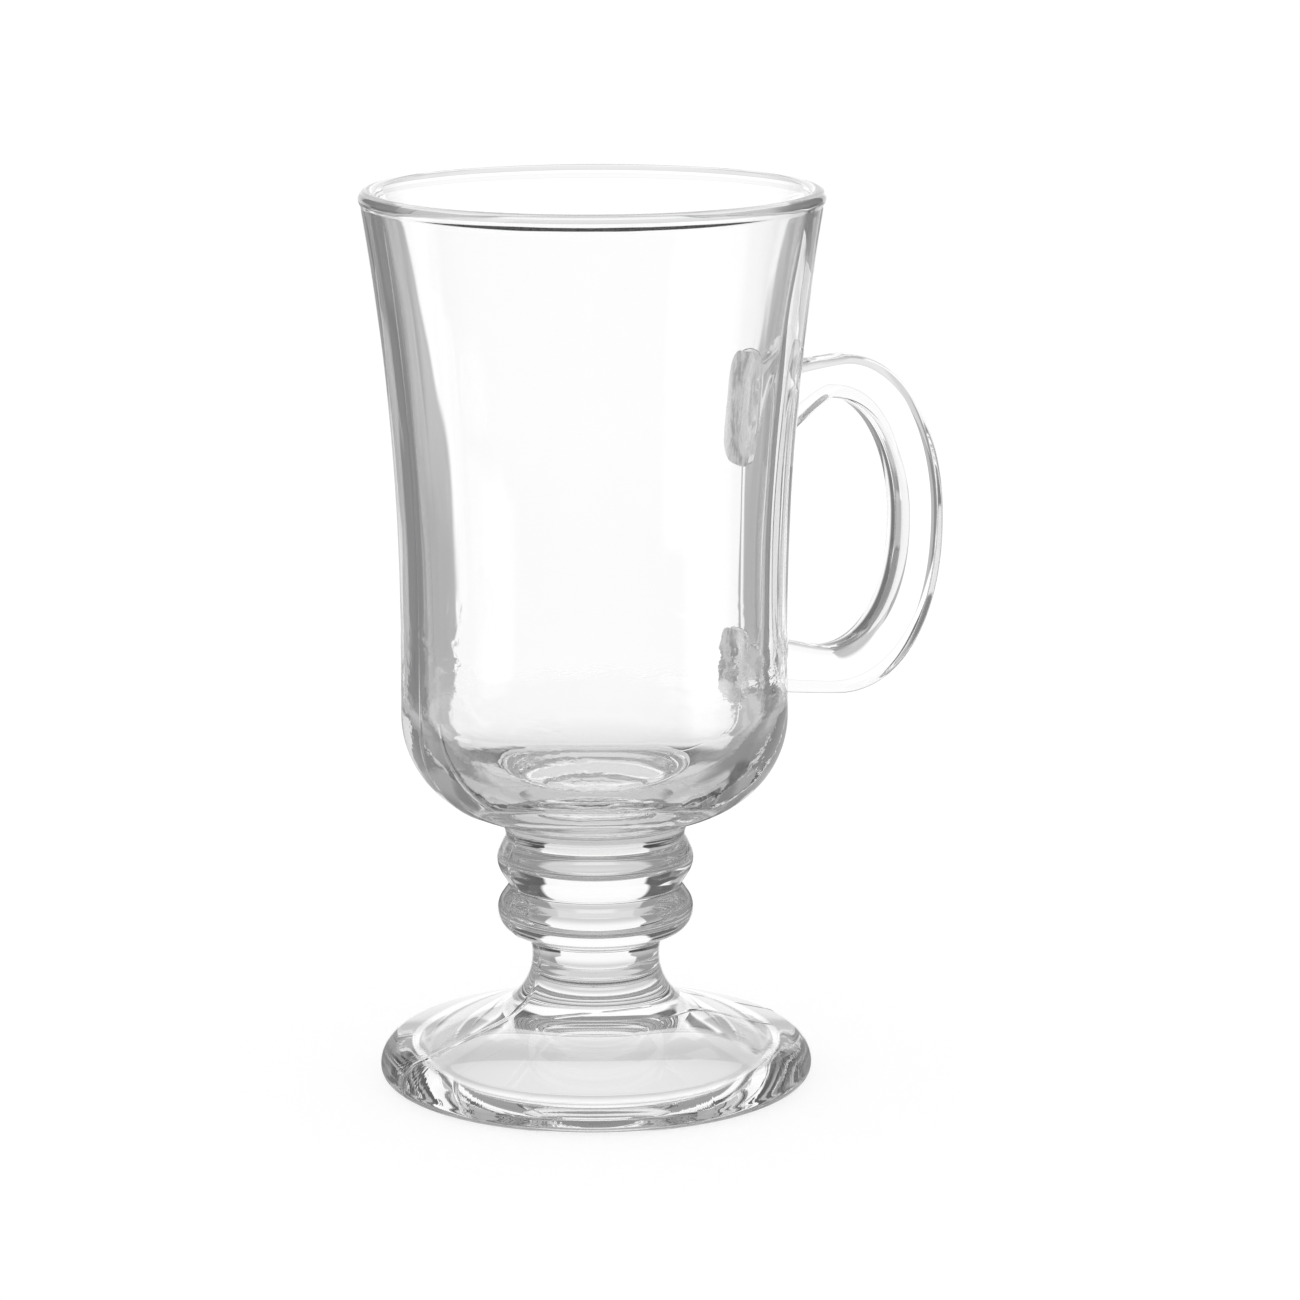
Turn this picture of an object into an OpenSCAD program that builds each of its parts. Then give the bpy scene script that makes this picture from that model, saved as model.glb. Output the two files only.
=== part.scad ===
// Footed glass mug for hot drinks: a flared bowl on a short stem with two knops, a domed foot and a D-shaped handle.
// The origin is on the axis of the glass, on the surface it stands on. The handle points along +X.

/* [Bowl] */
// Height of the whole glass, foot to rim
glass_h = 149; // [125:1:185]
// Radius of the rim at its widest
rim_r = 38; // [34.5:0.1:46]
// Outer radius of the straight lower wall
wall_r = 32; // [28:0.2:34]
// Height at which the wall starts to flare
flare_start_h = 77.5; // [66:0.5:95]
// Outer radius of the round between wall and underside
base_round_r = 17; // [13:0.2:20]
// Height of the bowl's underside
underside_h = 45.1; // [44:0.1:50]
// Glass thickness just under the rim
rim_wall_t = 2.9; // [2.2:0.1:4]
// Glass thickness of the lower wall
lower_wall_t = 4; // [2.6:0.1:5]
// Glass thickness in the middle of the bowl's floor
floor_t = 6; // [4:0.2:10]
// Diameter of the rounded bead along the rim
bead_d = 3; // [2.4:0.1:4.4]
// How far the bead stands proud of the wall outside
bead_proud = 0.15; // [0:0.05:0.6]

/* [Stem] */
// Height of the joint between bowl and upper knop
upper_joint_h = 41.4; // [40.4:0.1:42.4]
// Radius of the joint between bowl and upper knop
upper_joint_r = 14.9; // [13.6:0.1:15.4]
// Height of the groove between the two knops
groove_h = 33.1; // [32.4:0.1:34]
// Radius at the bottom of that groove
groove_r = 14.2; // [12.8:0.1:15]
// Height of the joint between lower knop and neck
lower_joint_h = 24; // [23.2:0.1:24.8]
// Largest radius of both knops
knop_r = 16.3; // [15.8:0.1:19]
// Radius of each knop's rounded edge
knop_edge_r = 3.9; // [3.2:0.1:4]
// Smallest radius of the neck
neck_r = 10.6; // [8:0.1:12]
// Height of the neck's narrowest place
neck_waist_h = 21; // [20:0.1:22.4]
// Radius of the hollow sweep from neck to foot
neck_sweep_r = 10; // [8.4:0.1:11]

/* [Foot] */
// Height of the joint between neck and foot
foot_joint_h = 15.4; // [14.4:0.1:17]
// Radius of the foot
foot_r = 36.1; // [33:0.1:42]
// Radius of the lower half of the foot's rounded edge
foot_edge_r = 2.4; // [1.8:0.1:3.2]
// Radius of the upper half of the foot's rounded edge
foot_shoulder_r = 4.4; // [3.6:0.1:6]
// Radius of the hollow under the foot where it meets the table
hollow_r = 28; // [22:0.5:30]
// Depth of the hollow under the foot
hollow_h = 8; // [4:0.2:9]
// Small round where the hollow meets the bearing ring
hollow_lip_r = 1.2; // [0.6:0.1:1.8]

/* [Handle] */
// Reach of the handle's outside from the axis
handle_reach = 66.4; // [62:0.2:76]
// Height of the top of the handle
handle_top_h = 118.6; // [112:0.2:124]
// Height of the underside of the handle
handle_low_h = 60.6; // [59:0.2:66]
// Distance from the axis at which the outside turns into its oval sweep
outer_turn_r = 47; // [44:0.2:52]
// Distance from the axis at which the inside turns into its oval sweep
inner_turn_r = 44; // [41:0.2:50]
// Depth of the bar at its furthest reach
grip_w = 9; // [7:0.1:10]
// Depth of the bar along its top
top_bar_w = 7.2; // [5.6:0.1:9]
// Depth of the bar along its bottom
low_bar_w = 8.4; // [6:0.1:10]
// Thickness of the bar, seen edge on
bar_t = 6.6; // [5:0.1:9]
// How far the outside of the upper root falls towards the bowl
upper_outer_drop = 0.9; // [0:0.1:2]
// How far the inside of the upper root falls towards the bowl
upper_inner_drop = 8.4; // [4:0.1:10]
// How far the outside of the lower root rises towards the bowl
lower_outer_rise = 1.8; // [0:0.1:2.6]
// How far the inside of the lower root rises towards the bowl
lower_inner_rise = 3.2; // [1:0.1:6]
// Fillet around the upper root
upper_fillet_r = 2; // [1:0.1:3]
// Fillet around the lower root
lower_fillet_r = 1.3; // [0.6:0.1:2]

/* [Hidden] */
$fn = 128;
glass_colour = "gainsboro";

// Steps along a short round, along a long sweep, along a root of the handle and around its bar.
round_steps = 12;
sweep_steps = 20;
root_steps = 9;
handle_steps = 30;
bar_sides = 28;

// The two walls of the bowl flare along one arc each, which leave the lower walls upright.
bead_r = bead_d / 2;
bead_h = glass_h - bead_r;
wall_top_r = rim_r - bead_proud;
inner_wall_r = wall_r - lower_wall_t;
inner_top_r = wall_top_r - rim_wall_t;
flare_rise = bead_h - flare_start_h;
outer_flare_r = flare_radius(wall_top_r - wall_r);
inner_flare_r = flare_radius(inner_top_r - inner_wall_r);

// The bowl's underside and floor have round corners.
underside_corner = [wall_r - base_round_r, underside_h + base_round_r];
floor_h = underside_h + floor_t;
floor_round_r = base_round_r - lower_wall_t;
floor_corner = [inner_wall_r - floor_round_r, floor_h + floor_round_r];

// A hollow shoulder runs from the upper knop's joint to where it touches the round of the underside.
shoulder_in = upper_joint_r - underside_corner[0];
shoulder_drop = underside_corner[1] - upper_joint_h;
shoulder_r = (shoulder_in * shoulder_in + shoulder_drop * shoulder_drop - base_round_r * base_round_r)
    / (2 * (base_round_r - shoulder_in));
shoulder_centre = [upper_joint_r + shoulder_r, upper_joint_h];
shoulder_angle = angle_to(underside_corner, shoulder_centre);

// Each knop's edge lies a little above the middle between its two joints.
knop_level_share = 0.54;
upper_knop_h = groove_h + (upper_joint_h - groove_h) * knop_level_share;
lower_knop_h = lower_joint_h + (groove_h - lower_joint_h) * knop_level_share;
knop_centre_r = knop_r - knop_edge_r;

// The neck is a hollow sweep around its waist. The foot's top leaves it in a straight line that touches the foot's edge.
sweep_centre = [neck_r + neck_sweep_r, neck_waist_h];
edge_top_centre = [foot_r - foot_shoulder_r, foot_edge_r];
edge_low_centre = [foot_r - foot_edge_r, foot_edge_r];
foot_span = sweep_centre - edge_top_centre;
foot_slope = acos((neck_sweep_r + foot_shoulder_r) / norm(foot_span)) - atan2(-foot_span[0], foot_span[1]);

// The hollow under the foot is part of a ball, and a small round leads from it to the ring that stands on the table.
ball_r = (hollow_r * hollow_r + hollow_h * hollow_h) / (2 * hollow_h);
ball_centre = [0, hollow_h - ball_r];
lip_centre = [sqrt(pow(ball_r + hollow_lip_r, 2) - pow(hollow_lip_r - ball_centre[1], 2)), hollow_lip_r];
ball_lip_angle = angle_to(ball_centre, lip_centre);

// The handle's outside and inside are two half ovals side by side, each with its own centre and size.
outer_oval = [outer_turn_r, (handle_top_h + handle_low_h) / 2];
outer_oval_size = [handle_reach - outer_turn_r, (handle_top_h - handle_low_h) / 2];
eye_top_h = handle_top_h - top_bar_w;
eye_low_h = handle_low_h + low_bar_w;
inner_oval = [inner_turn_r, (eye_top_h + eye_low_h) / 2];
inner_oval_size = [handle_reach - grip_w - inner_turn_r, (eye_top_h - eye_low_h) / 2];

// The ovals' lower halves are a little fuller than true ovals, which have a power of 2.
upper_oval_power = 2;
lower_oval_power = 2.2;

// The bar's section is a rectangle with well rounded corners: a power of 2 would make it an oval.
section_power = 4;
// A root's stations crowd towards the wall, and its inner side eases out of the bar.
crowding_power = 2;
easing_power = 1.2;

// Direction of one point seen from another.
function angle_to(from, to) = atan2(to[1] - from[1], to[0] - from[0]);

// Radius of an arc that starts upright and moves out by reach over the flare's rise.
function flare_radius(reach) = (flare_rise * flare_rise + reach * reach) / (2 * reach);

// Radius of a flared wall at height z.
function flared(z, lower_r, arc_r) =
    z < flare_start_h ? lower_r : lower_r + arc_r - sqrt(arc_r * arc_r - pow(z - flare_start_h, 2));

// Radius of the bowl's outside at height z, from its underside's round upwards.
function bowl_r(z) = z < underside_corner[1]
    ? underside_corner[0] + sqrt(base_round_r * base_round_r - pow(z - underside_corner[1], 2))
    : flared(z, wall_r, outer_flare_r);

// Points on an arc about a centre, from one angle to another.
function arc(centre, r, from, to, steps) =
    [for (i = [0 : steps]) let (a = from + (to - from) * i / steps) centre + r * [cos(a), sin(a)]];

// Points up a flared wall, from where its flare starts to the bead.
function flare(lower_r, arc_r) =
    [for (i = [0 : sweep_steps]) let (z = flare_start_h + flare_rise * i / sweep_steps) [flared(z, lower_r, arc_r), z]];

// The points of a list from last to first.
function backwards(points) = [for (i = [len(points) - 1 : -1 : 0]) points[i]];

// Angle at which a straight flank from a point touches a knop's round edge. Side is 1 above the edge and -1 below it.
function flank_angle(centre, point, side) =
    angle_to(centre, point) - side * acos(min(1, knop_edge_r / norm(point - centre)));

// Angle on the neck's sweep at height z, and the sweep's radius there.
function sweep_angle(z) = 180 - asin((z - neck_waist_h) / neck_sweep_r);
function sweep_radius(z) = sweep_centre[0] + neck_sweep_r * cos(sweep_angle(z));

// Bowl with its floor, wall and bead, down to its joint with the upper knop.
module bowl() {
    color(glass_colour)
    rotate_extrude() {
        polygon(concat(
            [[0, upper_joint_h]],
            arc(shoulder_centre, shoulder_r, 180, 180 + shoulder_angle, round_steps),
            arc(underside_corner, base_round_r, shoulder_angle, 0, sweep_steps),
            flare(wall_r, outer_flare_r),
            backwards(flare(inner_wall_r, inner_flare_r)),
            arc(floor_corner, floor_round_r, 0, -90, sweep_steps),
            [[0, floor_h]]
        ));
        translate([rim_r - bead_r, bead_h]) circle(bead_r);
    }
}

// A knop between two joints, with a round edge and straight flanks.
module knop(edge_h, top_r, top_h, low_r, low_h) {
    centre = [knop_centre_r, edge_h];
    rotate_extrude()
    polygon(concat(
        [[0, top_h], [top_r, top_h]],
        arc(centre, knop_edge_r, flank_angle(centre, [top_r, top_h], 1),
            flank_angle(centre, [low_r, low_h], -1), sweep_steps),
        [[low_r, low_h], [0, low_h]]
    ));
}

// Upper knop, from the bowl to the groove.
module upper_knop() {
    color(glass_colour)
    knop(upper_knop_h, upper_joint_r, upper_joint_h, groove_r, groove_h);
}

// Lower knop, from the groove to the neck.
module lower_knop() {
    color(glass_colour)
    knop(lower_knop_h, groove_r, groove_h, sweep_radius(lower_joint_h), lower_joint_h);
}

// Neck, the narrow part of the hollow sweep.
module neck() {
    color(glass_colour)
    rotate_extrude()
    polygon(concat(
        [[0, lower_joint_h]],
        arc(sweep_centre, neck_sweep_r, sweep_angle(lower_joint_h), sweep_angle(foot_joint_h), sweep_steps),
        [[0, foot_joint_h]]
    ));
}

// Foot with its domed top, round edge, bearing ring and hollow underside.
module foot() {
    color(glass_colour)
    rotate_extrude()
    polygon(concat(
        [[0, foot_joint_h]],
        arc(sweep_centre, neck_sweep_r, sweep_angle(foot_joint_h), 270 - foot_slope, round_steps),
        arc(edge_top_centre, foot_shoulder_r, 90 - foot_slope, 0, round_steps),
        arc(edge_low_centre, foot_edge_r, 0, -90, round_steps),
        arc(lip_centre, hollow_lip_r, 270, 180 + ball_lip_angle, round_steps),
        arc(ball_centre, ball_r, ball_lip_angle, 90, sweep_steps)
    ));
}

// A station of the handle is its outer point, its inner point and how much its fillet adds all around.
function sweep_station(a) =
    let (power = a > 0 ? upper_oval_power : lower_oval_power, x = pushed(cos(a), power), z = pushed(sin(a), power))
    [
        outer_oval + [outer_oval_size[0] * x, outer_oval_size[1] * z],
        inner_oval + [inner_oval_size[0] * x, inner_oval_size[1] * z],
        0
    ];

// What a fillet adds at a distance from the wall.
function fillet(distance, r) =
    distance >= r ? 0 : r - sqrt(r * r - pow(r - distance, 2));

// A point on one side of a root, where share runs from 0 at the oval to 1 at the wall and the side shifts on its way.
function root_point(share, turn_r, h, shift) =
    [turn_r + (bowl_r(h + shift) - turn_r) * share, h + shift * pow(share, easing_power)];

// A station in a root. Its fillet grows as the bar comes close to the wall.
function root_station(share, outer_h, outer_shift, inner_h, inner_shift, fillet_r) =
    let (
        outer = root_point(share, outer_turn_r, outer_h, outer_shift),
        inner = root_point(share, inner_turn_r, inner_h, inner_shift),
        gap = (outer[0] - bowl_r(outer[1]) + inner[0] - bowl_r(inner[1])) / 2
    )
    [outer, inner, share < 1 ? fillet(gap, fillet_r) : fillet_r];

// Shares along a root, crowded towards the wall.
root_shares = [for (i = [1 : root_steps]) 1 - pow(1 - i / root_steps, crowding_power)];

// All stations, from the wall at the top around to the wall at the bottom.
stations = concat(
    backwards([for (s = root_shares)
        root_station(s, handle_top_h, -upper_outer_drop, eye_top_h, -upper_inner_drop, upper_fillet_r)]),
    [for (i = [0 : handle_steps]) sweep_station(90 - 180 * i / handle_steps)],
    [for (s = root_shares)
        root_station(s, handle_low_h, lower_outer_rise, eye_low_h, lower_inner_rise, lower_fillet_r)]
);

// A sine or cosine pushed out towards the corners of an oval.
function pushed(v, power) = sign(v) * pow(abs(v), 2 / power);

// One ring of the bar: its outline at a station, drawn in to a share of its size.
function ring(station, size_share) =
    let (
        centre = (station[0] + station[1]) / 2,
        half = (station[0] - station[1]) / 2,
        across = half * (1 + station[2] / norm(half)) * size_share,
        thick = (bar_t / 2 + station[2]) * size_share
    )
    [for (i = [0 : bar_sides - 1]) let (
        a = 360 * i / bar_sides,
        flat = centre + across * pushed(cos(a), section_power)
    ) [flat[0], thick * pushed(sin(a), section_power), flat[1]]];

// The same ring laid on the bowl's outside.
function seated(points) = [for (p = points) [sqrt(pow(bowl_r(p[2]), 2) - p[1] * p[1]), p[1], p[2]]];

// Triangles between ring k and the next, with every ring holding the same number of points.
function band(k) = [for (i = [0 : bar_sides - 1]) let (
        j = (i + 1) % bar_sides,
        a = k * bar_sides
    ) each [[a + i, a + j, a + bar_sides + j], [a + i, a + bar_sides + j, a + bar_sides + i]]];

// Handle: rings carried from root to root around the two ovals, each end closed on the bowl's wall.
module handle() {
    last = len(stations) - 1;
    cap_share = 0.5;
    rings = concat(
        [seated(ring(stations[0], cap_share)), seated(ring(stations[0], 1))],
        [for (k = [1 : last - 1]) ring(stations[k], 1)],
        [seated(ring(stations[last], 1)), seated(ring(stations[last], cap_share))]
    );
    points = [for (r = rings) each r];
    ends = [seated(ring(stations[0], 0))[0], seated(ring(stations[last], 0))[0]];
    top_end = len(points);
    low_ring = (len(rings) - 1) * bar_sides;
    color(glass_colour)
    polyhedron(
        points = concat(points, ends),
        faces = concat(
            [for (k = [0 : len(rings) - 2]) each band(k)],
            [for (i = [0 : bar_sides - 1]) [(i + 1) % bar_sides, i, top_end]],
            [for (i = [0 : bar_sides - 1]) [low_ring + i, low_ring + (i + 1) % bar_sides, top_end + 1]]
        )
    );
}

bowl();
upper_knop();
lower_knop();
neck();
foot();
handle();
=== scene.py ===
"""Footed mug for hot drinks in pressed clear glass: flared bowl, knopped stem, domed foot and handle.

All lengths are in metres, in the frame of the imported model: the axis of the glass is Z, the table is at
zero, and the handle points along +X. The glass is one fused body, so where two pieces meet their faces are
fully clear.
"""

import logging
import math
from abc import ABC, abstractmethod
from dataclasses import dataclass, field
from enum import Enum

import bpy
import numpy as np
from mathutils import Matrix, Vector


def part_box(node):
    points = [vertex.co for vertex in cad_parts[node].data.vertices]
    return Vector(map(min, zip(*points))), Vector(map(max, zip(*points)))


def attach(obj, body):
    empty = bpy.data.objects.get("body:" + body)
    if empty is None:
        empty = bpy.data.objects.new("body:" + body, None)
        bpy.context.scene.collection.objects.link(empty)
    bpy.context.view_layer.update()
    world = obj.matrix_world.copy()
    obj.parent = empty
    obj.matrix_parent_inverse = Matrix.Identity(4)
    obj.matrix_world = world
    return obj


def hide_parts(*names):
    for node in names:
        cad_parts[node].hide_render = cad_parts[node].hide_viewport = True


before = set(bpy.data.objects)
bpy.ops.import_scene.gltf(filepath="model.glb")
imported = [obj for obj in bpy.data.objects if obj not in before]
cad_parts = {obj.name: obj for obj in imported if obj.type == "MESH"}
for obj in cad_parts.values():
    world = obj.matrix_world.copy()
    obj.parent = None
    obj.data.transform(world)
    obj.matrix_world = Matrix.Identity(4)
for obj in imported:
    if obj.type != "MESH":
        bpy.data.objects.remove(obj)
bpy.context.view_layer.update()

LOG = logging.getLogger("glass_mug")
BODY = "root"
# The direction in which the photograph looks, in degrees from +X
MAIN_VIEW = 62.0
WHITE = (1.0, 1.0, 1.0, 1.0)
# The distance from the axis at which ways around it are measured
GIRTH_R = 0.03
# Closer to the axis than this counts as on it
ON_AXIS = 1e-9
# A cross product shorter than this gives no direction
NO_LENGTH = 1e-12
# Points along each arc and each wall that an outline walks
CURVE_POINTS = 400
# Steps in which the place is looked for where the wall leaves the bead
CROSSING_STEPS = 2000
# How often light may turn in all, and at glass
LIGHT_TURNS = 24
GLASS_TURNS = 20


# Plane curves

def polar(angle: np.ndarray | float) -> np.ndarray:
    """Return the unit vectors (cos, sin) of one angle or of an array of angles, in radians."""
    return np.stack([np.cos(angle), np.sin(angle)], axis=-1)


def heading(start: np.ndarray, end: np.ndarray) -> float:
    """Return the direction from one plane point to another, in radians."""
    return math.atan2(end[1] - start[1], end[0] - start[0])


def arc(centre: np.ndarray, radius: float, start: float, end: float, count: int = CURVE_POINTS) -> np.ndarray:
    """Walk an arc: centre plus radius times (cos a, sin a), with a running evenly from start to end.

    Args:
        centre: the arc's centre.
        radius: its radius.
        start: first angle in degrees.
        end: last angle in degrees.
        count: number of points.

    Returns:
        The points as an array of shape (count, 2).
    """
    return centre + radius * polar(np.radians(np.linspace(start, end, count)))


def walked(points: np.ndarray) -> np.ndarray:
    """Return the length walked along a polyline up to each of its points."""
    return np.concatenate([[0.0], np.cumsum(np.linalg.norm(np.diff(points, axis=0), axis=1))])


def smooth_step(value: np.ndarray | float, low: float, high: float) -> np.ndarray:
    """Rise from 0 at low to 1 at high along 3t^2 - 2t^3, where t is how far value has come between them."""
    t = np.clip((np.asarray(value, float) - low) / (high - low), 0.0, 1.0)
    return t * t * (3.0 - 2.0 * t)


def pushed(value: np.ndarray, power: float) -> np.ndarray:
    """Push a sine or cosine towards an oval's corners: its sign times |value| to the power 2 / power."""
    return np.sign(value) * np.abs(value) ** (2.0 / power)


# The turned body of the glass

@dataclass(frozen=True)
class Span:
    """A stretch of the turned outline.

    Attributes:
        points: (r, z) points from the top of the stretch to its end.
        normals: outward unit normals at those points, in the (r, z) plane.
        seam: how much of the mould seam shows at each point, from 0 to 1.
    """

    points: np.ndarray
    normals: np.ndarray
    seam: np.ndarray


@dataclass(frozen=True)
class TurnedSizes:
    """Sizes of everything that is round about the axis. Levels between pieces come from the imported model.

    Attributes:
        glass_h: height of the glass.
        upper_joint_h: level of the joint between bowl and upper knop.
        groove_h: level of the groove between the two knops.
        lower_joint_h: level of the joint between lower knop and neck.
        foot_joint_h: level of the joint between neck and foot.
        rim_r: radius over the rim's bead.
        wall_r: radius of the upright part of the wall.
        flare_start_h: level at which the wall starts to lean out.
        base_round_r: radius of the round between wall and underside.
        underside_h: lowest level of that round.
        rim_wall_t: thickness of the wall under the bead.
        lower_wall_t: thickness of the upright wall.
        floor_t: thickness of the bowl's floor.
        bead_d: diameter of the rim's bead.
        bead_proud: how far the bead stands out of the wall.
        upper_joint_r: radius of the stem under the bowl.
        groove_r: radius in the groove between the knops.
        knop_r: radius over a knop.
        knop_edge_r: radius of a knop's round edge.
        knop_level_share: how far up between its joints a knop is widest.
        neck_r: radius of the neck at its waist.
        neck_waist_h: level of that waist.
        neck_sweep_r: radius of the hollow sweep from neck to foot.
        foot_r: radius of the foot.
        foot_edge_r: radius of the foot's lower edge.
        foot_shoulder_r: radius of the round above that edge.
        hollow_r: radius of the hollow under the foot, where it meets the table.
        hollow_h: depth of that hollow.
        hollow_lip_r: radius of the round between the hollow and the ring that the foot stands on.
    """

    glass_h: float
    upper_joint_h: float
    groove_h: float
    lower_joint_h: float
    foot_joint_h: float
    rim_r: float = 0.038
    wall_r: float = 0.032
    flare_start_h: float = 0.0775
    base_round_r: float = 0.017
    underside_h: float = 0.0451
    rim_wall_t: float = 0.0029
    lower_wall_t: float = 0.004
    floor_t: float = 0.006
    bead_d: float = 0.003
    bead_proud: float = 0.00015
    upper_joint_r: float = 0.0149
    groove_r: float = 0.0142
    knop_r: float = 0.0163
    knop_edge_r: float = 0.0039
    knop_level_share: float = 0.54
    neck_r: float = 0.0106
    neck_waist_h: float = 0.021
    neck_sweep_r: float = 0.01
    foot_r: float = 0.0361
    foot_edge_r: float = 0.0024
    foot_shoulder_r: float = 0.0044
    hollow_r: float = 0.028
    hollow_h: float = 0.008
    hollow_lip_r: float = 0.006

    @classmethod
    def from_frame(cls) -> "TurnedSizes":
        """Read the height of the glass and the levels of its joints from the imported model.

        Returns:
            The sizes.
        """
        return cls(
            glass_h=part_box("bowl")[1].z,
            upper_joint_h=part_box("bowl")[0].z,
            groove_h=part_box("upper_knop")[0].z,
            lower_joint_h=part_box("lower_knop")[0].z,
            foot_joint_h=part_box("neck")[0].z,
        )

    @property
    def bead_centre(self) -> np.ndarray:
        """Return the centre of the rim bead's section."""
        return np.array([self.rim_r - self.bead_d / 2, self.glass_h - self.bead_d / 2])

    @property
    def underside_corner(self) -> np.ndarray:
        """Return the centre of the round between wall and underside."""
        return np.array([self.wall_r - self.base_round_r, self.underside_h + self.base_round_r])

    def flared(self, height: np.ndarray, lower_r: float, top_r: float) -> np.ndarray:
        """Give a flared wall's radius: upright up to the flare, then one arc that reaches top_r at the bead.

        The arc's radius is (rise^2 + reach^2) / (2 reach), and the wall is at
        lower_r + arc - sqrt(arc^2 - climb^2).

        Args:
            height: the levels.
            lower_r: radius of the upright part.
            top_r: radius at the middle of the bead.

        Returns:
            The radius at each level.
        """
        rise = self.bead_centre[1] - self.flare_start_h
        reach = top_r - lower_r
        arc_r = (rise**2 + reach**2) / (2 * reach)
        climb = np.maximum(np.asarray(height, float) - self.flare_start_h, 0.0)
        return lower_r + arc_r - np.sqrt(arc_r**2 - climb**2)

    def outer_wall(self, height: np.ndarray) -> np.ndarray:
        """Work out the bowl's outside, from the round of its underside upwards.

        The round takes R - sqrt(R^2 - drop^2) off the wall, where drop is the depth under its centre.

        Args:
            height: the levels.

        Returns:
            The radius at each level.
        """
        corner = self.underside_corner
        drop = np.clip(corner[1] - np.asarray(height, float), 0.0, self.base_round_r)
        wall = self.flared(height, self.wall_r, self.rim_r - self.bead_proud)
        return wall - self.base_round_r + np.sqrt(self.base_round_r**2 - drop**2)

    def inner_wall(self, height: np.ndarray) -> np.ndarray:
        """Return the radius of the bowl's inside at a height above its floor round."""
        top = self.rim_r - self.bead_proud - self.rim_wall_t
        return self.flared(height, self.wall_r - self.lower_wall_t, top)


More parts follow.
